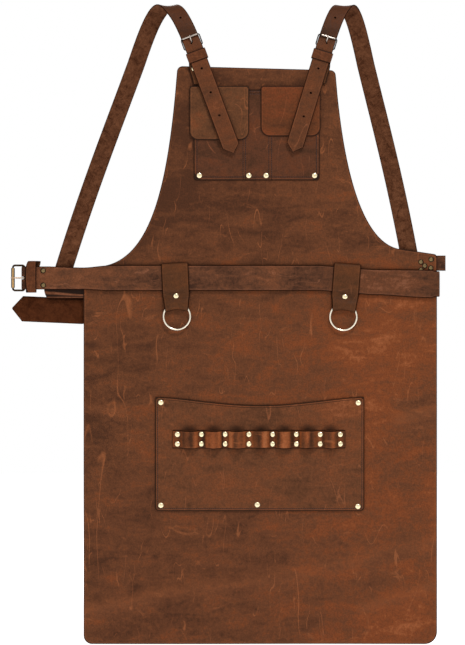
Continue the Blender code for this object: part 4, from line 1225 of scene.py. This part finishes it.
def box_cutter(centre, half_sizes, lean):
    """A box (half sizes along X, Y and Z), leaning about Y, to cut a slot with."""
    work = bmesh.new()
    bmesh.ops.create_cube(work, size=2.0)
    bmesh.ops.transform(work, matrix=Matrix.Translation(centre) @ Matrix.Rotation(lean, 4, "Y")
                        @ Matrix.Diagonal((*half_sizes, 1.0)), verts=work.verts)
    return cutter_from(work)


def hole_cutter(centre):
    """A round punch along Y, for one strap hole."""
    profile = ((STRAP_HOLE_RADIUS, -HOLE_HALF_DEPTH), (STRAP_HOLE_RADIUS, HOLE_HALF_DEPTH))
    points, faces = lathe_points(profile, PUNCH_SIDES)
    work = bmesh.new()
    corners = [work.verts.new(Vector(point) + centre) for point in points]
    for face in faces + ends(2, PUNCH_SIDES):
        work.faces.new([corners[i] for i in face])
    return cutter_from(work)


def cut_through(piece, *cutters):
    """Cuts the cutters out of the piece, which leaves a cut edge, and keeps the result."""
    for cutter in cutters:
        for material in piece.data.materials:
            cutter.data.materials.append(material)
        for polygon in cutter.data.polygons:
            polygon.material_index = 2
        modifier = piece.modifiers.new("cut", "BOOLEAN")
        modifier.operation = "DIFFERENCE"
        modifier.solver = "EXACT"
        modifier.object = cutter
    bpy.context.view_layer.update()
    graph = bpy.context.evaluated_depsgraph_get()
    mesh = bpy.data.meshes.new_from_object(piece.evaluated_get(graph))
    piece.modifiers.clear()
    piece.data = mesh
    for cutter in cutters:
        bpy.data.objects.remove(cutter)


def rounded_rectangle(low, high, radius, steps=5):
    """Points round a rectangle with rounded corners, anticlockwise from the right."""
    centres = ((high[0] - radius, high[1] - radius), (low[0] + radius, high[1] - radius),
               (low[0] + radius, low[1] + radius), (high[0] - radius, low[1] + radius))
    points = []
    for quarter, (x, y) in enumerate(centres):
        for i in range(steps + 1):
            angle = math.pi / 2 * (quarter + i / steps)
            points.append((x + radius * math.cos(angle), y + radius * math.sin(angle)))
    return points


def make_belt_buckle():
    bar = belt_bar()
    outline = rounded_rectangle((bar.x - BELT_BUCKLE_LENGTH, bar.z - BELT_BUCKLE_HALF),
                                (bar.x, bar.z + BELT_BUCKLE_HALF), BELT_BUCKLE_CORNER)
    points = fill_gaps([Vector((x, bar.y, z)) for x, z in outline], 3 * MM)
    frame_wire = tube("belt_buckle_frame_wire", points, BELT_WIRE, Vector((0, 1, 0)),
                      PAINT["black_brass"], closed=True)
    settle(frame_wire, "belt_buckle", "antique_brass", "belt_buckle_frame")
    half = BELT_BUCKLE_HALF - ROLLER_INSET
    inner = BELT_WIRE + GAP
    profile = [(inner, -half), (ROLLER_END_RADIUS, -half), (ROLLER_RADIUS, -half + ROLLER_BEVEL),
               (ROLLER_RADIUS, half - ROLLER_BEVEL), (ROLLER_END_RADIUS, half), (inner, half),
               (inner, -half)]
    points, faces = lathe_points(profile, LATHE_SIDES)
    turned = [Vector((x + bar.x - BELT_BUCKLE_LENGTH, z + bar.y, y + bar.z)) for x, y, z in points]
    roller = merged("belt_buckle_roller_sleeve", [(turned, faces)], PAINT["roller"])
    settle(roller, "belt_roller", "antique_brass", "belt_buckle_roller")
    prong = make_prong("belt_buckle_prong_pin", bar, Vector((-1, 0, 0)), FORWARDS,
                       BELT_BUCKLE_LENGTH + BELT_PRONG_PAST, BELT_PRONG_WIRE,
                       ROLLER_RADIUS + 2 * GAP + BELT_PRONG_REST, BELT_PRONG_LOW, PAINT["prong"])
    settle(prong, "belt_prong", "antique_brass", "belt_buckle_prong")


def fill_gaps(points, spacing):
    """A closed run of points with more added on its long straight sides."""
    result = []
    for point, after in zip(points, points[1:] + points[:1]):
        steps = max(1, round((after - point).length / spacing))
        result += [point.lerp(after, i / steps) for i in range(steps)]
    return result


def make_prong(name, pivot, outward, front, length, radius, rest_height, low, material):
    """A wire pin: its eye hooks round the bar at pivot and its tip rests on the far bar.

    low is how far in front of the near bar it passes, rest_height how far in front of the other."""
    points = []
    steps = 16
    for i in range(steps + 1):
        angle = math.radians(-200 + 290 * i / steps)
        points.append(pivot + outward * (PRONG_EYE * math.cos(angle))
                      + front * (PRONG_EYE * math.sin(angle)))
    for reach, height in ((5 * MM, low), (0.7 * length, rest_height),
                          (length, rest_height - 0.4 * MM)):
        points.append(pivot + outward * reach + front * height)
    path = curve_through(points, 0.8 * MM)
    taper = [0.94 - 0.14 * i for i in range(4)]
    radii = [radius] * (len(path) - 4) + [radius * part for part in taper]
    return tube(name, path, radii, outward.cross(front).normalized(), material)


def make_band(name, node, centre, along, half_width, half_depth, length):
    """A closed leather loop round a strap, with rounded corners."""
    across = along.cross(FORWARDS).normalized()
    low = (-half_width - KEEPER_THICK / 2, -half_depth - KEEPER_THICK / 2)
    outline = rounded_rectangle(low, (-low[0], -low[1]), BAND_CORNER)
    flat = fill_gaps([Vector((u, v, 0)) for u, v in outline], 3 * MM)
    stations = []
    for i, spot in enumerate(flat):
        step = span(flat, i, closed=True)
        tangent = (across * step.x + FORWARDS * step.y).normalized()
        point = centre + across * spot.x + FORWARDS * spot.y
        stations.append((point, along * (length / 2), along.cross(tangent)))
    band = ribbon(name, stations, KEEPER_THICK, hide("keeper"), closed=True, drift=0.3)
    settle(band, node, "grain_leather" if "strap" in name else "belt_leather",
           name.replace("_band", ""))
    return band


def make_belt_keeper():
    """A tall slack loop: it passes over the end of the buckle, and its far side strays inwards."""
    low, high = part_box("belt_keeper")
    bottom, top = KEEPER_SPAN_Z
    left, right = KEEPER_SPAN_X
    low.y -= KEEPER_DEEPER
    centre = Vector(((left + right) / 2, (low.y + high.y) / 2, (bottom + top) / 2))
    band = make_band("belt_keeper_band", "belt_keeper", centre, Vector((1, 0, 0)),
                     (top - bottom) / 2 - KEEPER_THICK, (high.y - low.y) / 2 - KEEPER_THICK,
                     right - left)
    for vertex in band.data.vertices:
        behind = smooth((vertex.co.y - low.y) / (high.y - low.y))
        level = (vertex.co.z - centre.z) / (top - centre.z)
        vertex.co.x += KEEPER_STRAY * behind * smooth(level)
        bow = KEEPER_BOW[0] * level**2 + KEEPER_BOW[1] * level**8
        vertex.co.x += bow * (1 - behind) * (right - vertex.co.x) / (right - left)


# ---------------------------------------------------------------- shoulder straps


def arch_point(side, turn):
    """The strap's centre line over the shoulder: turn runs from -90 (back) to 90 (front)."""
    angle = math.radians(turn)
    back = math.tan(BACK_LEAN[side]) * ARCH_RISE
    front = math.tan(FRONT_LEAN[side]) * ARCH_RISE
    inward = (back + front) / 2 * angle + (front - back) * angle * angle / (2 * math.pi)
    return Vector((ARCH_X[side] - side * inward,
                   STRAP_FRONT_Y + ARCH_HALF_DEPTH * (1 - math.sin(angle)),
                   ARCH_TOP_Z - ARCH_RISE * (1 - math.cos(angle))))


def arch_normal(turn):
    angle = math.radians(turn)
    return Vector((0, -math.sin(angle) / ARCH_HALF_DEPTH, math.cos(angle) / ARCH_RISE)).normalized()


def front_point(side, z):
    """The strap's centre on its front run at height z."""
    arch_end = ARCH_TOP_Z - ARCH_RISE
    if z > arch_end:
        return arch_point(side, math.degrees(math.acos(1 - (ARCH_TOP_Z - z) / ARCH_RISE)))
    drop = arch_end - z
    return arch_point(side, 90) + Vector((-side * math.tan(FRONT_LEAN[side]) * drop, 0, -drop))


def front_direction(side):
    lean = FRONT_LEAN[side]
    return Vector((-side * math.sin(lean), 0, -math.cos(lean)))


def back_point(side, z):
    """The strap's centre on its back run at height z."""
    head = arch_point(side, -90)
    drop = head.z - z
    bow = BACK_BOW * math.sin(math.pi * min(1.0, max(0.0, drop / (head.z - STRAP_END_Z[side]))))
    close = smooth(drop / (head.z - STRAP_SETTLED_Z))
    x = head.x + side * (math.tan(BACK_LEAN[side]) * drop + bow)
    return Vector((x, head.y + (STRAP_WAIST_Y - head.y) * close, z))


def tail_top(side):
    return front_point(side, TAIL_TOP_Z) + front_direction(side) * GAP


def strap_bars(side):
    heel = front_point(side, HEEL_BAR_Z)
    heel.y = HEEL_BAR_Y
    top = heel - front_direction(side) * ((TOP_BAR_Z - HEEL_BAR_Z) / math.cos(FRONT_LEAN[side]))
    top.y = TOP_BAR_Y
    return heel, top


def over_shoulder_grime(place):
    """Painted shade: the strap is darker over the shoulder, and darkest in the shadow just above the
    buckle's bar.
    """
    above_bar = (place.z - TOP_BAR_Z - 7 * MM) / (9 * MM)
    over = smooth((place.z - 990 * MM) / (30 * MM))
    return 0.45 * over + 0.38 * math.exp(-(above_bar**2))


def make_strap(side):
    """From the side loop at the waist, over the shoulder, into the keeper under the buckle."""
    points, normals = [], []
    head_z = arch_point(side, -90).z
    steps = 70
    for i in range(steps):
        points.append(back_point(side, STRAP_END_Z[side] + (head_z - STRAP_END_Z[side]) * i / steps))
        normals.append(-FORWARDS)
    steps = 60
    for i in range(steps):
        turn = -90 + 180 * i / steps
        points.append(arch_point(side, turn))
        normals.append(arch_normal(turn))
    points.append(front_point(side, STRAP_KEEPER_Z[0] + STRAP_INTO_KEEPER))
    normals.append(FORWARDS)
    while points[-2].z < points[-1].z + 2 * MM:
        del points[-2], normals[-2]
    halves = [STRAP_WIDTH / 2] * len(points)
    name = SIDES[side]
    strap = ribbon("shoulder_strap_" + name + "_hide", along_path(points, normals, halves),
                   STRAP_THICK, hide("strap", "strap_suede"), lie=side * 0.7,
                   drift=lambda t: 0.5 * math.sin(9 * t + side), grime=over_shoulder_grime)
    slit = front_point(side, HEEL_BAR_Z + STRAP_SLIT_UP)
    hole = front_point(side, TOP_BAR_Z + 0.75 * STRAP_HOLE_PITCH)
    for cut in (slit, hole):
        cut.y -= STRAP_THICK / 2
    cut_through(strap, box_cutter(slit, STRAP_SLIT_HALF, -side * FRONT_LEAN[side]),
                hole_cutter(hole))
    settle(strap, "root", "grain_leather", "shoulder_strap_" + name)


def make_tail(side):
    """The free end, from inside the keeper down over the flap to its pointed tip."""
    top, down = tail_top(side), front_direction(side)
    start = -(STRAP_KEEPER_Z[0] + TAIL_INTO_KEEPER - TAIL_TOP_Z)
    length = (top.z - TAIL_TIP_Z[side]) / math.cos(FRONT_LEAN[side])
    reaches = [start + (length - TAIL_POINT - start) * i / 38 for i in range(39)]
    reaches += [length - TAIL_POINT * (1 - i / 5) for i in range(1, 6)]
    across = down.cross(FORWARDS).normalized()
    stations = []
    for reach in reaches:
        taper = min(1.0, max(0.06, (length - reach) / TAIL_POINT))
        bow = TAIL_BOW * math.sin(math.pi * max(0.0, reach) / length)
        stations.append((top + down * reach + FORWARDS * bow, across * (STRAP_WIDTH / 2 * taper),
                         FORWARDS))
    name = SIDES[side]
    tail = ribbon("strap_tail_" + name + "_hide", stations, STRAP_THICK,
                  hide("strap", "strap_suede"), lie=side * 0.9, drift=lambda t: 0.5 - 0.7 * t)
    cutters = []
    for i in range(3):
        centre = top + down * (TAIL_FIRST_HOLE + STRAP_HOLE_PITCH * i * (1.0 - 0.02 * i))
        centre.y -= STRAP_THICK / 2
        cutters.append(hole_cutter(centre))
    cut_through(tail, *cutters)
    settle(tail, ("root", "tail_" + name, top, top + down * TAIL_BEND), "grain_leather",
           "strap_tail_" + name)


def make_strap_buckle(side):
    heel, top = strap_bars(side)
    up = (top - heel).normalized()
    length = (top - heel).length
    across = front_direction(side).cross(FORWARDS).normalized()
    outline = rounded_rectangle((-STRAP_BUCKLE_HALF, 0.0), (STRAP_BUCKLE_HALF, length),
                                STRAP_BUCKLE_CORNER)
    points = fill_gaps([heel + across * u + up * v for u, v in outline], 2 * MM)
    straight = STRAP_BUCKLE_HALF - STRAP_BUCKLE_CORNER
    on_side = [abs((point - heel).dot(across)) > straight for point in points]
    radii = [STRAP_SIDE_WIRE if side_part else STRAP_WIRE for side_part in on_side]
    front = across.cross(up).normalized()
    if front.y > 0:
        front = -front
    name = SIDES[side]
    wire = tube("strap_buckle_" + name + "_wire", points, radii, front, PAINT["worn_nickel"],
                closed=True)
    wire.data.materials.append(PAINT["black_nickel"])
    for polygon in wire.data.polygons:
        polygon.material_index = int(on_side[polygon.index // TUBE_SIDES])
    settle(wire, "strap_buckle_" + name, "bright_nickel", "strap_buckle_frame_" + name)
    prong = make_prong("strap_buckle_prong_" + name + "_pin", heel, up, front,
                       length + STRAP_PRONG_PAST, STRAP_PRONG_WIRE,
                       STRAP_WIRE + 2 * GAP + STRAP_PRONG_REST, STRAP_PRONG_LOW,
                       PAINT["worn_nickel"])
    settle(prong, "strap_prong_" + name, "bright_nickel", "strap_buckle_prong_" + name)


def make_strap_keeper(side):
    z0, z1 = STRAP_KEEPER_Z
    middle = front_point(side, (z0 + z1) / 2)
    strap_face = middle.y - STRAP_THICK / 2 - 2 * GAP
    centre = Vector((middle.x, (strap_face + STRAP_KEEPER_BACK_Y) / 2, middle.z))
    name = "strap_keeper_" + SIDES[side]
    make_band(name + "_band", name, centre, front_direction(side), STRAP_WIDTH / 2 + 2 * GAP,
              (STRAP_KEEPER_BACK_Y - strap_face) / 2, (z1 - z0) / math.cos(FRONT_LEAN[side]))


def make_buckle_tab(side):
    """The tab on the bib's corner, folded round the shoulder buckle's heel bar."""
    heel = strap_bars(side)[0]
    down = front_direction(side)
    eye = STRAP_WIRE + EYE_SLACK + STRIP_THICK / 2
    back_y = -GAP - STRIP_THICK / 2
    front_y = back_y - STRIP_THICK - GAP
    lean_top = FRONT_LEAN[side]
    steps = 18
    reach = (heel.z - TAB_END_Z) / math.cos(lean_top)
    spot = heel.copy()
    back, front = [], []
    for i in range(1, steps + 1):
        lean = lean_top + (TAB_LEAN_ON_BIB - lean_top) * smooth(1.8 * i / steps)
        heading = Vector((-side * math.sin(lean), 0, -math.cos(lean)))
        spot = spot + heading * (reach / steps)
        narrowed = 1 - 0.5 * smooth((i / steps - 0.5) / 0.5)
        across = heading.cross(FORWARDS).normalized() * (TAB_WIDTH / 2 * narrowed)
        settled = smooth(2 * i / steps)
        for run, eye_y, flat_y, facing in ((back, heel.y + eye, back_y, -FORWARDS),
                                           (front, heel.y - eye, front_y, FORWARDS)):
            place = Vector((spot.x, eye_y + (flat_y - eye_y) * settled, spot.z))
            run.append((place, across, facing))
    across = down.cross(FORWARDS).normalized() * (TAB_WIDTH / 2)
    bend = []
    steps = 14
    for i in range(steps + 1):
        angle = math.pi * i / steps
        normal = Vector((0, math.cos(angle), 0)) - down * math.sin(angle)
        bend.append((heel + normal * eye, across, normal))
    name = SIDES[side]
    tab = ribbon("buckle_tab_" + name + "_hide", back[::-1] + bend + front, STRIP_THICK,
                 hide("hanger"), lie=side * 1.7)
    cut_through(tab, box_cutter(heel, TAB_SLOT_HALF, -side * FRONT_LEAN[side]))
    settle(tab, "root", "grain_leather", "buckle_tab_" + name)


def side_loop_shade(side, place, low):
    """Painted shade: the left loop is dark in the shadow behind the belt, except for a lit band,
    which falls and narrows inwards, and a fainter lit line at its lower edge; the right loop is a
    little darker all over."""
    if side > 0:
        return 0.15
    inwards = min(1.0, max(0.0, (place.x - LOOP_OUTER_X[side]) / (60 * MM)))
    height = (place.z - low) / MM
    band = math.exp(-(((height - 9.9 + 4.3 * inwards) / (2.6 - 1.4 * inwards)) ** 4))
    lip = 0.7 * math.exp(-(((height - 2.0) / 0.9) ** 2))
    return 1.2 * (1.0 - max(band, lip))


def round_loop_end(loop, outer, low):
    """The fold of the left loop leans inwards at its bottom corner."""
    for vertex in loop.data.vertices:
        full, none = FOLD_LEAN_REACH
        near = smooth((outer + none - vertex.co.x) / (none - full))
        below = max(0.0, 1 - (vertex.co.z - low) / FOLD_LEAN_HEIGHT)
        vertex.co.x += FOLD_LEAN * near * below**1.6


def make_side_loop(side):
    """A strip folded behind the wing, with the strap's end between its two layers."""
    outer, inner = LOOP_OUTER_X[side], LOOP_INNER_X[side]
    z0, z1 = SIDE_LOOP_Z[side]
    near = BODY_THICK + GAP + STRIP_THICK / 2
    far = 2 * STRAP_WAIST_Y - near
    radius, middle = (far - near) / 2, (near + far) / 2
    fold_x = outer - side * (radius + STRIP_THICK / 2)
    runs = 16
    path = [(inner + (fold_x - inner) * i / runs, near) for i in range(runs + 1)]
    steps = 12
    for i in range(1, steps):
        angle = math.pi * i / steps
        path.append((fold_x + side * radius * math.sin(angle), middle - radius * math.cos(angle)))
    path += [(fold_x + (inner - fold_x) * i / runs, far) for i in range(runs + 1)]
    half = Vector((0, 0, (z1 - z0) / 2))
    points = [Vector((x, y, (z0 + z1) / 2)) for x, y in path]
    stations = []
    for i, point in enumerate(points):
        normal = span(points, i).normalized().cross(UP * side)
        if (point.y > middle) != (normal.y > 0) and abs(normal.y) > 0.5:
            normal = -normal
        stations.append((point, half, normal))
    name = "side_loop_" + SIDES[side]
    loop = ribbon(name + "_hide", stations, STRIP_THICK, hide("belt"), lie=side * 2.3,
                  # The lighter tone of the left loop paints the light on its lit band.
                  drift=0.8 - 1.0 * side,
                  grime=lambda place: side_loop_shade(side, place, z0), fine=True)
    if side < 0:
        round_loop_end(loop, outer, z0)
    settle(loop, "root", "belt_leather", name)


# ---------------------------------------------------------------- ring hangers


def hanger_place(side):
    x, z = box_middle("ring_hanger_rivet_01" if side < 0 else "ring_hanger_rivet_02")
    return Matrix.Translation((x, 0, z)) @ Matrix.Rotation(HANGER_TILT[side], 4, "Y")


def make_ring_hanger(side):
    """A strip folded over the belt, riveted at the neck, and folded again round the O-ring."""
    half_thick = STRIP_THICK / 2
    back = -GAP - half_thick
    belt_cover = BELT_FRONT_Y - BELT_THICK / 2 - EYE_SLACK - half_thick
    neck = back - STRIP_THICK
    eye_front = RING_Y - RING_WIRE - GAP - half_thick
    top, bottom = HANGER_TOP - half_thick, -HANGER_BOTTOM + half_thick
    corners = [(back, 40 * MM), (back, 20 * MM), (back, 6 * MM), (back, -6 * MM),
               (back, -15 * MM), (back - 1.6 * MM, bottom + 1.2 * MM),
               ((back + eye_front) / 2, bottom), (eye_front + 1.6 * MM, bottom + 1.4 * MM),
               (eye_front, -14 * MM), (eye_front + 1.4 * MM, -9 * MM),
               (neck - 1.6 * MM, -4.5 * MM), (neck, -2.0 * MM), (neck, 3.2 * MM),
               (neck - 1.6 * MM, 6.4 * MM), (belt_cover, 10.5 * MM), (belt_cover, 24 * MM),
               (belt_cover, 40 * MM), (belt_cover + 0.2 * MM, top - 3 * MM),
               (belt_cover + 1.6 * MM, top - 0.3 * MM), (back - 1.2 * MM, top),
               (back, top - 2 * MM)]
    points = curve_through([Vector((0, y, z)) for y, z in corners], 1.6 * MM, closed=True)
    place = hanger_place(side)
    stations = []
    narrow, wide = HANGER_WIDTH
    for i, point in enumerate(points):
        half = (narrow + (wide - narrow) * smooth((point.z + 22 * MM) / (26 * MM))) / 2
        normal = span(points, i, closed=True).normalized().cross(Vector((1, 0, 0)))
        stations.append((place @ point, place.to_3x3() @ Vector((half, 0, 0)),
                         place.to_3x3() @ normal))
    centre = sum((point for point, _, _ in stations), Vector()) / len(stations)
    if (stations[0][0] - centre).dot(stations[0][2]) < 0:
        stations = [(point, half, -normal) for point, half, normal in stations]
    name = "ring_hanger_" + SIDES[side]
    hanger = ribbon(name + "_hide", stations, STRIP_THICK, hide("hanger"), closed=True,
                    lie=side * 3.1)
    for vertex in hanger.data.vertices:
        spot = place.inverted() @ vertex.co
        spot.z -= HANGER_ARCH * (2 * spot.x / narrow) ** 2 * smooth((-6 * MM - spot.z) / (10 * MM))
        vertex.co = place @ spot
    settle(hanger, "root", "grain_leather", name)


def make_ring(side):
    steps = 72
    place = hanger_place(side)
    points = []
    for i in range(steps):
        angle = math.tau * i / steps
        points.append(place @ Vector((RING_RADIUS * math.sin(angle), RING_Y,
                                      -RING_DROP + RING_RADIUS * math.cos(angle))))
    name = SIDES[side]
    ring = tube("o_ring_" + name + "_wire", points, RING_WIRE, Vector((0, 1, 0)), PAINT["nickel"],
                closed=True, sides=14)
    settle(ring, "ring_" + name, "bright_nickel", "o_ring_" + name)


# ---------------------------------------------------------------- rivets


def rivet_set(name, nodes, paint, slot_name, draped=False):
    """All the rivets of one seam as one piece, each where its CAD rivet is."""
    chance = random.Random(len(nodes) + len(name))
    shells = []
    for node in nodes:
        low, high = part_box(node)
        x, z = box_middle(node)
        sway = drape_at(x, z) if draped else 0.0
        shells += rivet_shells(x, z, low.y + CAP_RISE + sway, high.y - BACK_RISE + sway, chance)
    piece = merged(name, shells, PAINT[paint])
    settle(piece, "root", slot_name, *nodes)


def wing_rivets():
    """The rivets that hold the side loops on the wings, and one on each buckle tab."""
    chance = random.Random(11)
    shells = []
    for x, z in WING_RIVETS:
        shells += rivet_shells(x, z, 0.0, BODY_THICK + GAP + STRIP_THICK, chance)
    settle(merged("wing_rivets", shells, PAINT["antique"]), "root", "antique_brass")
    shells = []
    for side in SIDES:
        x = strap_bars(side)[0].x + TAB_RIVET_SHIFT[side]
        shells += rivet_shells(x, TAB_RIVET_Z, -2 * GAP - 2 * STRIP_THICK, BODY_THICK, chance)
    settle(merged("buckle_tab_rivets", shells, PAINT["brass"]), "root", "pale_brass")


# ---------------------------------------------------------------- stitching


def seam_run(corners, face_y, draped=False):
    """A run of (x, z) corners filled with closer points, lying on a face."""
    spaced = []
    for (x0, z0), (x1, z1) in zip(corners, corners[1:]):
        steps = max(1, round(math.hypot(x1 - x0, z1 - z0) / (6 * MM)))
        spaced += [(x0 + (x1 - x0) * i / steps, z0 + (z1 - z0) * i / steps) for i in range(steps)]
    spaced.append(corners[-1])
    sway = drape(np.array(spaced)) if draped else np.zeros(len(spaced))
    return [Vector((x, face_y + y, z)) for (x, z), y in zip(spaced, sway)], FORWARDS


def round_pocket(low, high, inset, down):
    """The corners of a seam down one side of a pocket, along its bottom and up the other side."""
    left, right, bottom, top = low.x + inset, high.x - inset, low.z + inset, high.z - down
    return [(left, top), (left, bottom), (right, bottom), (right, top)]


def make_stitching():
    """The chest pocket is sewn round, twice along its top between the flaps, and at its dividers."""
    low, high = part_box("chest_pocket")
    inset = CHEST_SEAM_INSET
    runs = [seam_run(round_pocket(low, high, inset, inset), CHEST_FRONT_Y)]
    left_top, right_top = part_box("pocket_flap_left")[1].x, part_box("pocket_flap_right")[0].x
    for z in [high.z - down for down in TOP_SEAMS_DOWN]:
        runs.append(seam_run([(left_top + 1 * MM, z), (right_top - 1 * MM, z)], CHEST_FRONT_Y))
    for x in DIVIDER_SEAMS_X:
        runs.append(seam_run([(x, high.z - 9 * MM), (x, low.z + inset + 2 * MM)], CHEST_FRONT_Y))
    settle(stitches("chest_pocket_stitching", runs, PAINT["thread"]), "root", "grain_leather")

    low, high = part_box("tool_pocket")
    corners = round_pocket(low, high, TOOL_SEAM_INSET, 2 * TOOL_SEAM_INSET)
    runs = [seam_run(corners, TOOL_FRONT_Y, draped=True)]
    settle(stitches("tool_pocket_stitching", runs, PAINT["thread"]), "root", "grain_leather")


# ---------------------------------------------------------------- stage, light and camera


STAGE_GLOW = 0.85
ROOM_LIGHT = 0.20
ROOM_SHINE = 0.80
STAGE_REACH = 6.0
STAGE_DROP = 4 * MM
WHITE = (1.0, 1.0, 1.0)
# Each light: name, place, size and power; all of them face MIDDLE
MIDDLE = (-0.03, 0.0, 0.53)
LIGHTS = (
    ("key", (0.7, -1.9, 3.0), (0.6, 0.5), 49),
    ("fill", (-1.9, -3.0, 1.3), (1.8, 1.8), 6.5),
    ("back", (-0.8, 2.6, 2.4), (1.6, 1.6), 34),
)


def make_stage():
    """A pale floor just under the hem; the room around it is as pale."""
    corners = ((-1, -1), (1, -1), (1, 1), (-1, 1))
    points = [(STAGE_REACH * x, STAGE_REACH * y, -STAGE_DROP) for x, y in corners]
    shader = Shader("studio_floor")
    for name, value in (("Base Color", (0.94, 0.94, 0.94)), ("Roughness", 0.9),
                        ("Specular IOR Level", 0.1), ("Emission Color", WHITE),
                        ("Emission Strength", STAGE_GLOW)):
        shader.set(name, value)
    finish_mesh("studio_floor", points, [(0, 1, 2, 3)], [0], [shader.material], {},
                         sharp=180)


def area_light(name, place, size, power):
    data = bpy.data.lights.new(name, "AREA")
    data.shape = "RECTANGLE"
    data.size, data.size_y = size
    data.energy = power
    light = add_object(name, data)
    light.location = place
    light.rotation_euler = (Vector(MIDDLE) - Vector(place)).to_track_quat("-Z", "Y").to_euler()


def make_lights():
    """Three area lights, in a white room that is dimmer to the leather than to the eye."""
    for light in LIGHTS:
        area_light(*light)
    world = bpy.data.worlds.new("studio")
    world.use_nodes = True
    nodes, links = world.node_tree.nodes, world.node_tree.links
    background = nodes["Background"].inputs
    background["Color"].default_value = (*WHITE, 1.0)
    rays = nodes.new("ShaderNodeLightPath")
    level = ROOM_LIGHT
    for kind, wanted in (("Is Glossy Ray", ROOM_SHINE), ("Is Camera Ray", 1.0)):
        blend = nodes.new("ShaderNodeMath")
        blend.operation = "MULTIPLY_ADD"
        links.new(rays.outputs[kind], blend.inputs[0])
        blend.inputs[1].default_value = wanted - ROOM_LIGHT
        if isinstance(level, float):
            blend.inputs[2].default_value = level
        else:
            links.new(level, blend.inputs[2])
        level = blend.outputs[0]
    links.new(level, background["Strength"])
    bpy.context.scene.world = world
    bpy.context.scene.view_settings.view_transform = "Standard"


VIEW_HEIGHT = 1064.3 * MM
VIEW_CENTRE = Vector((-45.9 * MM, 0.0, 530.5 * MM))
LENS = 180.0
SENSOR = 36.0


def make_camera():
    """A long lens straight in front, framed to the picture's height."""
    data = bpy.data.cameras.new("camera")
    data.lens = LENS
    data.sensor_width = SENSOR
    distance = VIEW_HEIGHT * LENS / SENSOR
    camera = add_object("camera", data)
    camera.location = VIEW_CENTRE + Vector((0, -distance, 0))
    camera.rotation_euler = (math.pi / 2, 0, 0)
    bpy.context.scene.camera = camera


def main():
    make_panels()
    make_tool_loop_strip()
    make_belt()
    make_belt_buckle()
    make_belt_keeper()
    for side in SIDES:
        make_flap(side)
        make_strap(side)
        make_tail(side)
        make_strap_buckle(side)
        make_strap_keeper(side)
        make_buckle_tab(side)
        make_side_loop(side)
        make_ring_hanger(side)
        make_ring(side)
    rivet_set("chest_pocket_rivets", numbered("chest_pocket_rivet", 4), "brass", "pale_brass")
    rivet_set("tool_pocket_rivets", numbered("tool_pocket_rivet", 5), "brass", "pale_brass", True)
    rivet_set("tool_loop_rivets", numbered("tool_loop_rivet", 16), "brass", "pale_brass", True)
    rivet_set("ring_hanger_rivets", numbered("ring_hanger_rivet", 2), "brass", "pale_brass")
    rivet_set("belt_rivets", numbered("belt_rivet", 2), "antique", "antique_brass")
    wing_rivets()
    make_stitching()
    make_stage()
    make_lights()
    make_camera()


main()
